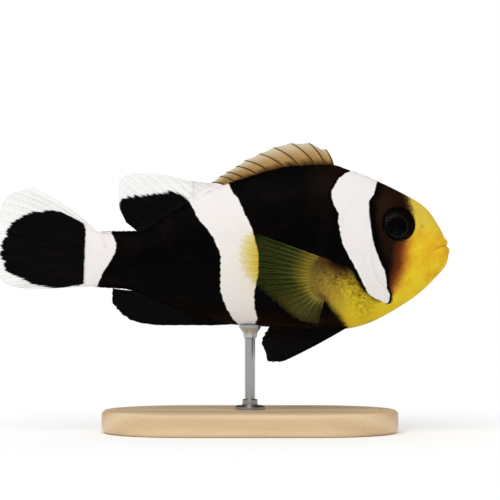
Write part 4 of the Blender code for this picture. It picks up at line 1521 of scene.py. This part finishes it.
def plate_mesh():
    """The base plate: a long rounded outline with soft edges top and bottom, and a fine groove on top."""
    half_x, half_y = (base_high.x - base_low.x) / 2 / MM, (base_high.y - base_low.y) / 2 / MM
    height = (base_high.z - base_low.z) / MM
    corner = half_y - 0.1
    turn = np.linspace(0.0, 2 * np.pi, PLATE_SIDES, endpoint=False)
    straight = half_x - corner
    outward = np.column_stack((np.cos(turn), np.sin(turn)))
    centre = np.column_stack((np.sign(outward[:, 0]) * straight, np.sign(outward[:, 1]) * (half_y - corner)))
    quarter = np.linspace(0.0, np.pi / 2, 7)
    rows = [(PLATE_EDGE * (1 - math.sin(a)), PLATE_EDGE * (1 - math.cos(a))) for a in quarter]
    rows += [(PLATE_EDGE * (1 - math.cos(a)), height - PLATE_EDGE * (1 - math.sin(a))) for a in quarter]
    rows += [(inset, height - depth) for inset, depth in PLATE_GROOVE]
    middle = np.array(((base_low.x + base_high.x) / 2, (base_low.y + base_high.y) / 2)) / MM
    verts = []
    for inset, z in rows:
        flat = middle + centre + outward * (corner - inset)
        verts += [(x * MM, y * MM, base_low.z + z * MM) for x, y in flat]
    faces = ring_faces(len(rows), PLATE_SIDES)
    faces.append(tuple(range(PLATE_SIDES)))
    faces.append(tuple((len(rows) - 1) * PLATE_SIDES + k for k in range(PLATE_SIDES)))
    return fresh_mesh("plate", verts, faces)


def wood_paint():
    """Pale maple: long fine fibres, soft growth bands and tiny dark pores."""
    paint = Paint("maple")
    place = paint.place()
    x, y, z = paint.parts(place)
    drift = paint.noise(place, 0.035, 2.0) * 5.0
    ring = ((y * 0.55 + z * 1.3 + drift).maths("SINE") + 1) * 0.5
    fibre = paint.noise(paint.vector(x * 0.12, y * 2.6, z * 2.6), 1.0, 4.0, 0.6)
    pore = paint.noise(paint.vector(x * 0.5, y * 6.0, z * 6.0), 1.0, 2.0, 0.5).rise(0.16, 0.24)
    colour = paint.mix(ring * 0.6 + fibre * 0.7 + 0.1, MAPLE, DARK_MAPLE)
    colour = paint.mix(pore * 0.35, colour, PORE_BROWN)
    normal = paint.bump(fibre * 0.5 + 0.5 - pore * 0.3, 0.04)
    return paint.end(paint.solid(colour, fibre * 0.15 + 0.42, normal, Specular_IOR_Level=0.4))


def steel_paint():
    """Steel turned in a lathe: fine rings of scratches round the axis."""
    paint = Paint("brushed_steel")
    place = paint.place()
    x, y, z = paint.parts(place)
    rings = paint.noise(paint.vector(x * 0.3, y * 0.3, z * 14.0), 1.0, 3.0, 0.7)
    colour = paint.mix(rings + 0.5, STEEL, PALE_STEEL)
    return paint.end(paint.solid(colour, rings * 0.2 + 0.3, paint.bump(rings + 0.5, 0.01), Metallic=1.0))


def rod_profile():
    """The rod with a collar on the plate and a cup under the belly, as radii and heights."""
    radius = (rod_high.x - rod_low.x) / 2 / MM
    foot, top, plate = rod_low.z / MM, rod_high.z / MM, base_high.z / MM
    belly = AXIS_HEIGHT + float(belly_z(0.0))
    collar = [(2.6, plate - 0.05), (2.6, plate + 0.5), (2.35, plate + 0.75), (1.5, plate + 0.8)]
    collar += [(1.35, plate + 0.95), (1.35, plate + 1.7), (1.2, plate + 1.85), (radius, plate + 1.9)]
    cup = [(radius, belly - 2.2), (1.15, belly - 2.0), (1.25, belly - 1.2), (BELLY_CUP, belly - 0.35)]
    cup += [(BELLY_CUP, belly + 0.2), (radius, belly + 0.4)]
    return [(0.0, foot), (radius, foot), (radius, plate - 0.05)] + collar + cup + [(radius, top), (0.0, top)]


axis_x, axis_y = (rod_low.x + rod_high.x) / 2 / MM, (rod_low.y + rod_high.y) / 2 / MM
rod_mesh = turned("rod", rod_profile(), ROD_SIDES, (axis_x, axis_y, -AXIS_HEIGHT), (0, 0, 1))
rod_mesh.set_sharp_from_angle(angle=math.radians(35))
plate_shape = plate_mesh()
plate_shape.set_sharp_from_angle(angle=math.radians(40))
show("stand_plate", plate_shape, wood_paint(), "stand_wood", "stand_base")
show("stand_post", rod_mesh, steel_paint(), "stand_steel", "stand_rod")
print("plate and post faces:", len(plate_shape.polygons), len(rod_mesh.polygons))

# %% [markdown]
# ## Floor, light and camera
#
# The fish is shown on a white sweep under soft light from above and in front. Its blacks stay deep only
# if they mirror little, so the world is bright to the camera, softer to the skin and dark to mirrors. One
# very wide lamp, high in front and a little to the left, shapes the body without hard shadows. Two soft
# boxes would do as well, but a lamp that is the same all over the floor leaves the floor even.

# %% Floor and lights
FLOOR_HALF = 3.0
FLOOR_WHITE, PURE_WHITE = ink(253, 253, 253), ink(255, 255, 255)
WORLD_SEEN, WORLD_LIGHT, WORLD_MIRRORED = 1.0, 0.72, 0.08
LIGHT_STRENGTH, LIGHT_WIDTH = 1.35, 55.0
LIGHT_FROM = (-0.2, -0.58, 0.79)


def make_floor():
    """A pale floor that is wide enough to meet the white behind it."""
    corners = [(x * FLOOR_HALF, y * FLOOR_HALF, 0.0) for x, y in ((-1, -1), (1, -1), (1, 1), (-1, 1))]
    mesh = bpy.data.meshes.new("floor")
    mesh.from_pydata(corners, [], [(0, 1, 2, 3)])
    paint = Paint("floor")
    colour = paint.mix(paint.noise(paint.place(), 0.004, 2.0) + 0.5, FLOOR_WHITE, PURE_WHITE)
    mesh.materials.append(paint.end(paint.solid(colour, 0.9, Specular_IOR_Level=0.1)))
    put("floor", mesh)


def make_world():
    """White to the camera, softer for the light it gives, and dimmer still in mirrors."""
    world = bpy.data.worlds.new("studio")
    bpy.context.scene.world = world
    world.use_nodes = True
    tree = world.node_tree
    path = add_node(tree, "ShaderNodeLightPath").outputs
    shares = {"Value": path["Is Camera Ray"], "To Min": WORLD_LIGHT, "To Max": WORLD_SEEN}
    seen = add_node(tree, "ShaderNodeMapRange", None, shares).outputs[0]
    shares = {0: path["Is Glossy Ray"], 1: WORLD_MIRRORED - WORLD_LIGHT, 2: seen}
    strength = add_node(tree, "ShaderNodeMath", {"operation": "MULTIPLY_ADD"}, shares).outputs[0]
    shade = tree.nodes["Background"]
    shade.inputs["Color"].default_value = PURE_WHITE
    tree.links.new(strength, shade.inputs["Strength"])


def make_sky_light():
    """One very wide lamp, high in front, as soft as a studio ceiling and the same all over the floor."""
    light = bpy.data.lights.new("ceiling", "SUN")
    light.energy, light.angle = LIGHT_STRENGTH, math.radians(LIGHT_WIDTH)
    put("ceiling", light).rotation_euler = Vector(LIGHT_FROM).to_track_quat("Z", "Y").to_euler()


make_floor()
make_world()
make_sky_light()

# %% The camera
LENS, SENSOR = 200.0, 36.0
FRAME_WIDTH = 87.7 * MM


def make_camera():
    camera = bpy.data.cameras.new("camera")
    camera.lens, camera.sensor_width = LENS, SENSOR
    camera.clip_start = 0.01
    eye = put("camera", camera)
    eye.location = (0.0, -FRAME_WIDTH * LENS / SENSOR, AXIS_HEIGHT * MM)
    eye.rotation_euler = (math.pi / 2, 0.0, 0.0)
    bpy.context.scene.camera = eye
    bpy.context.scene.view_settings.view_transform = "Standard"
    print(f"camera {-eye.location.y:.3f} m in front")


make_camera()
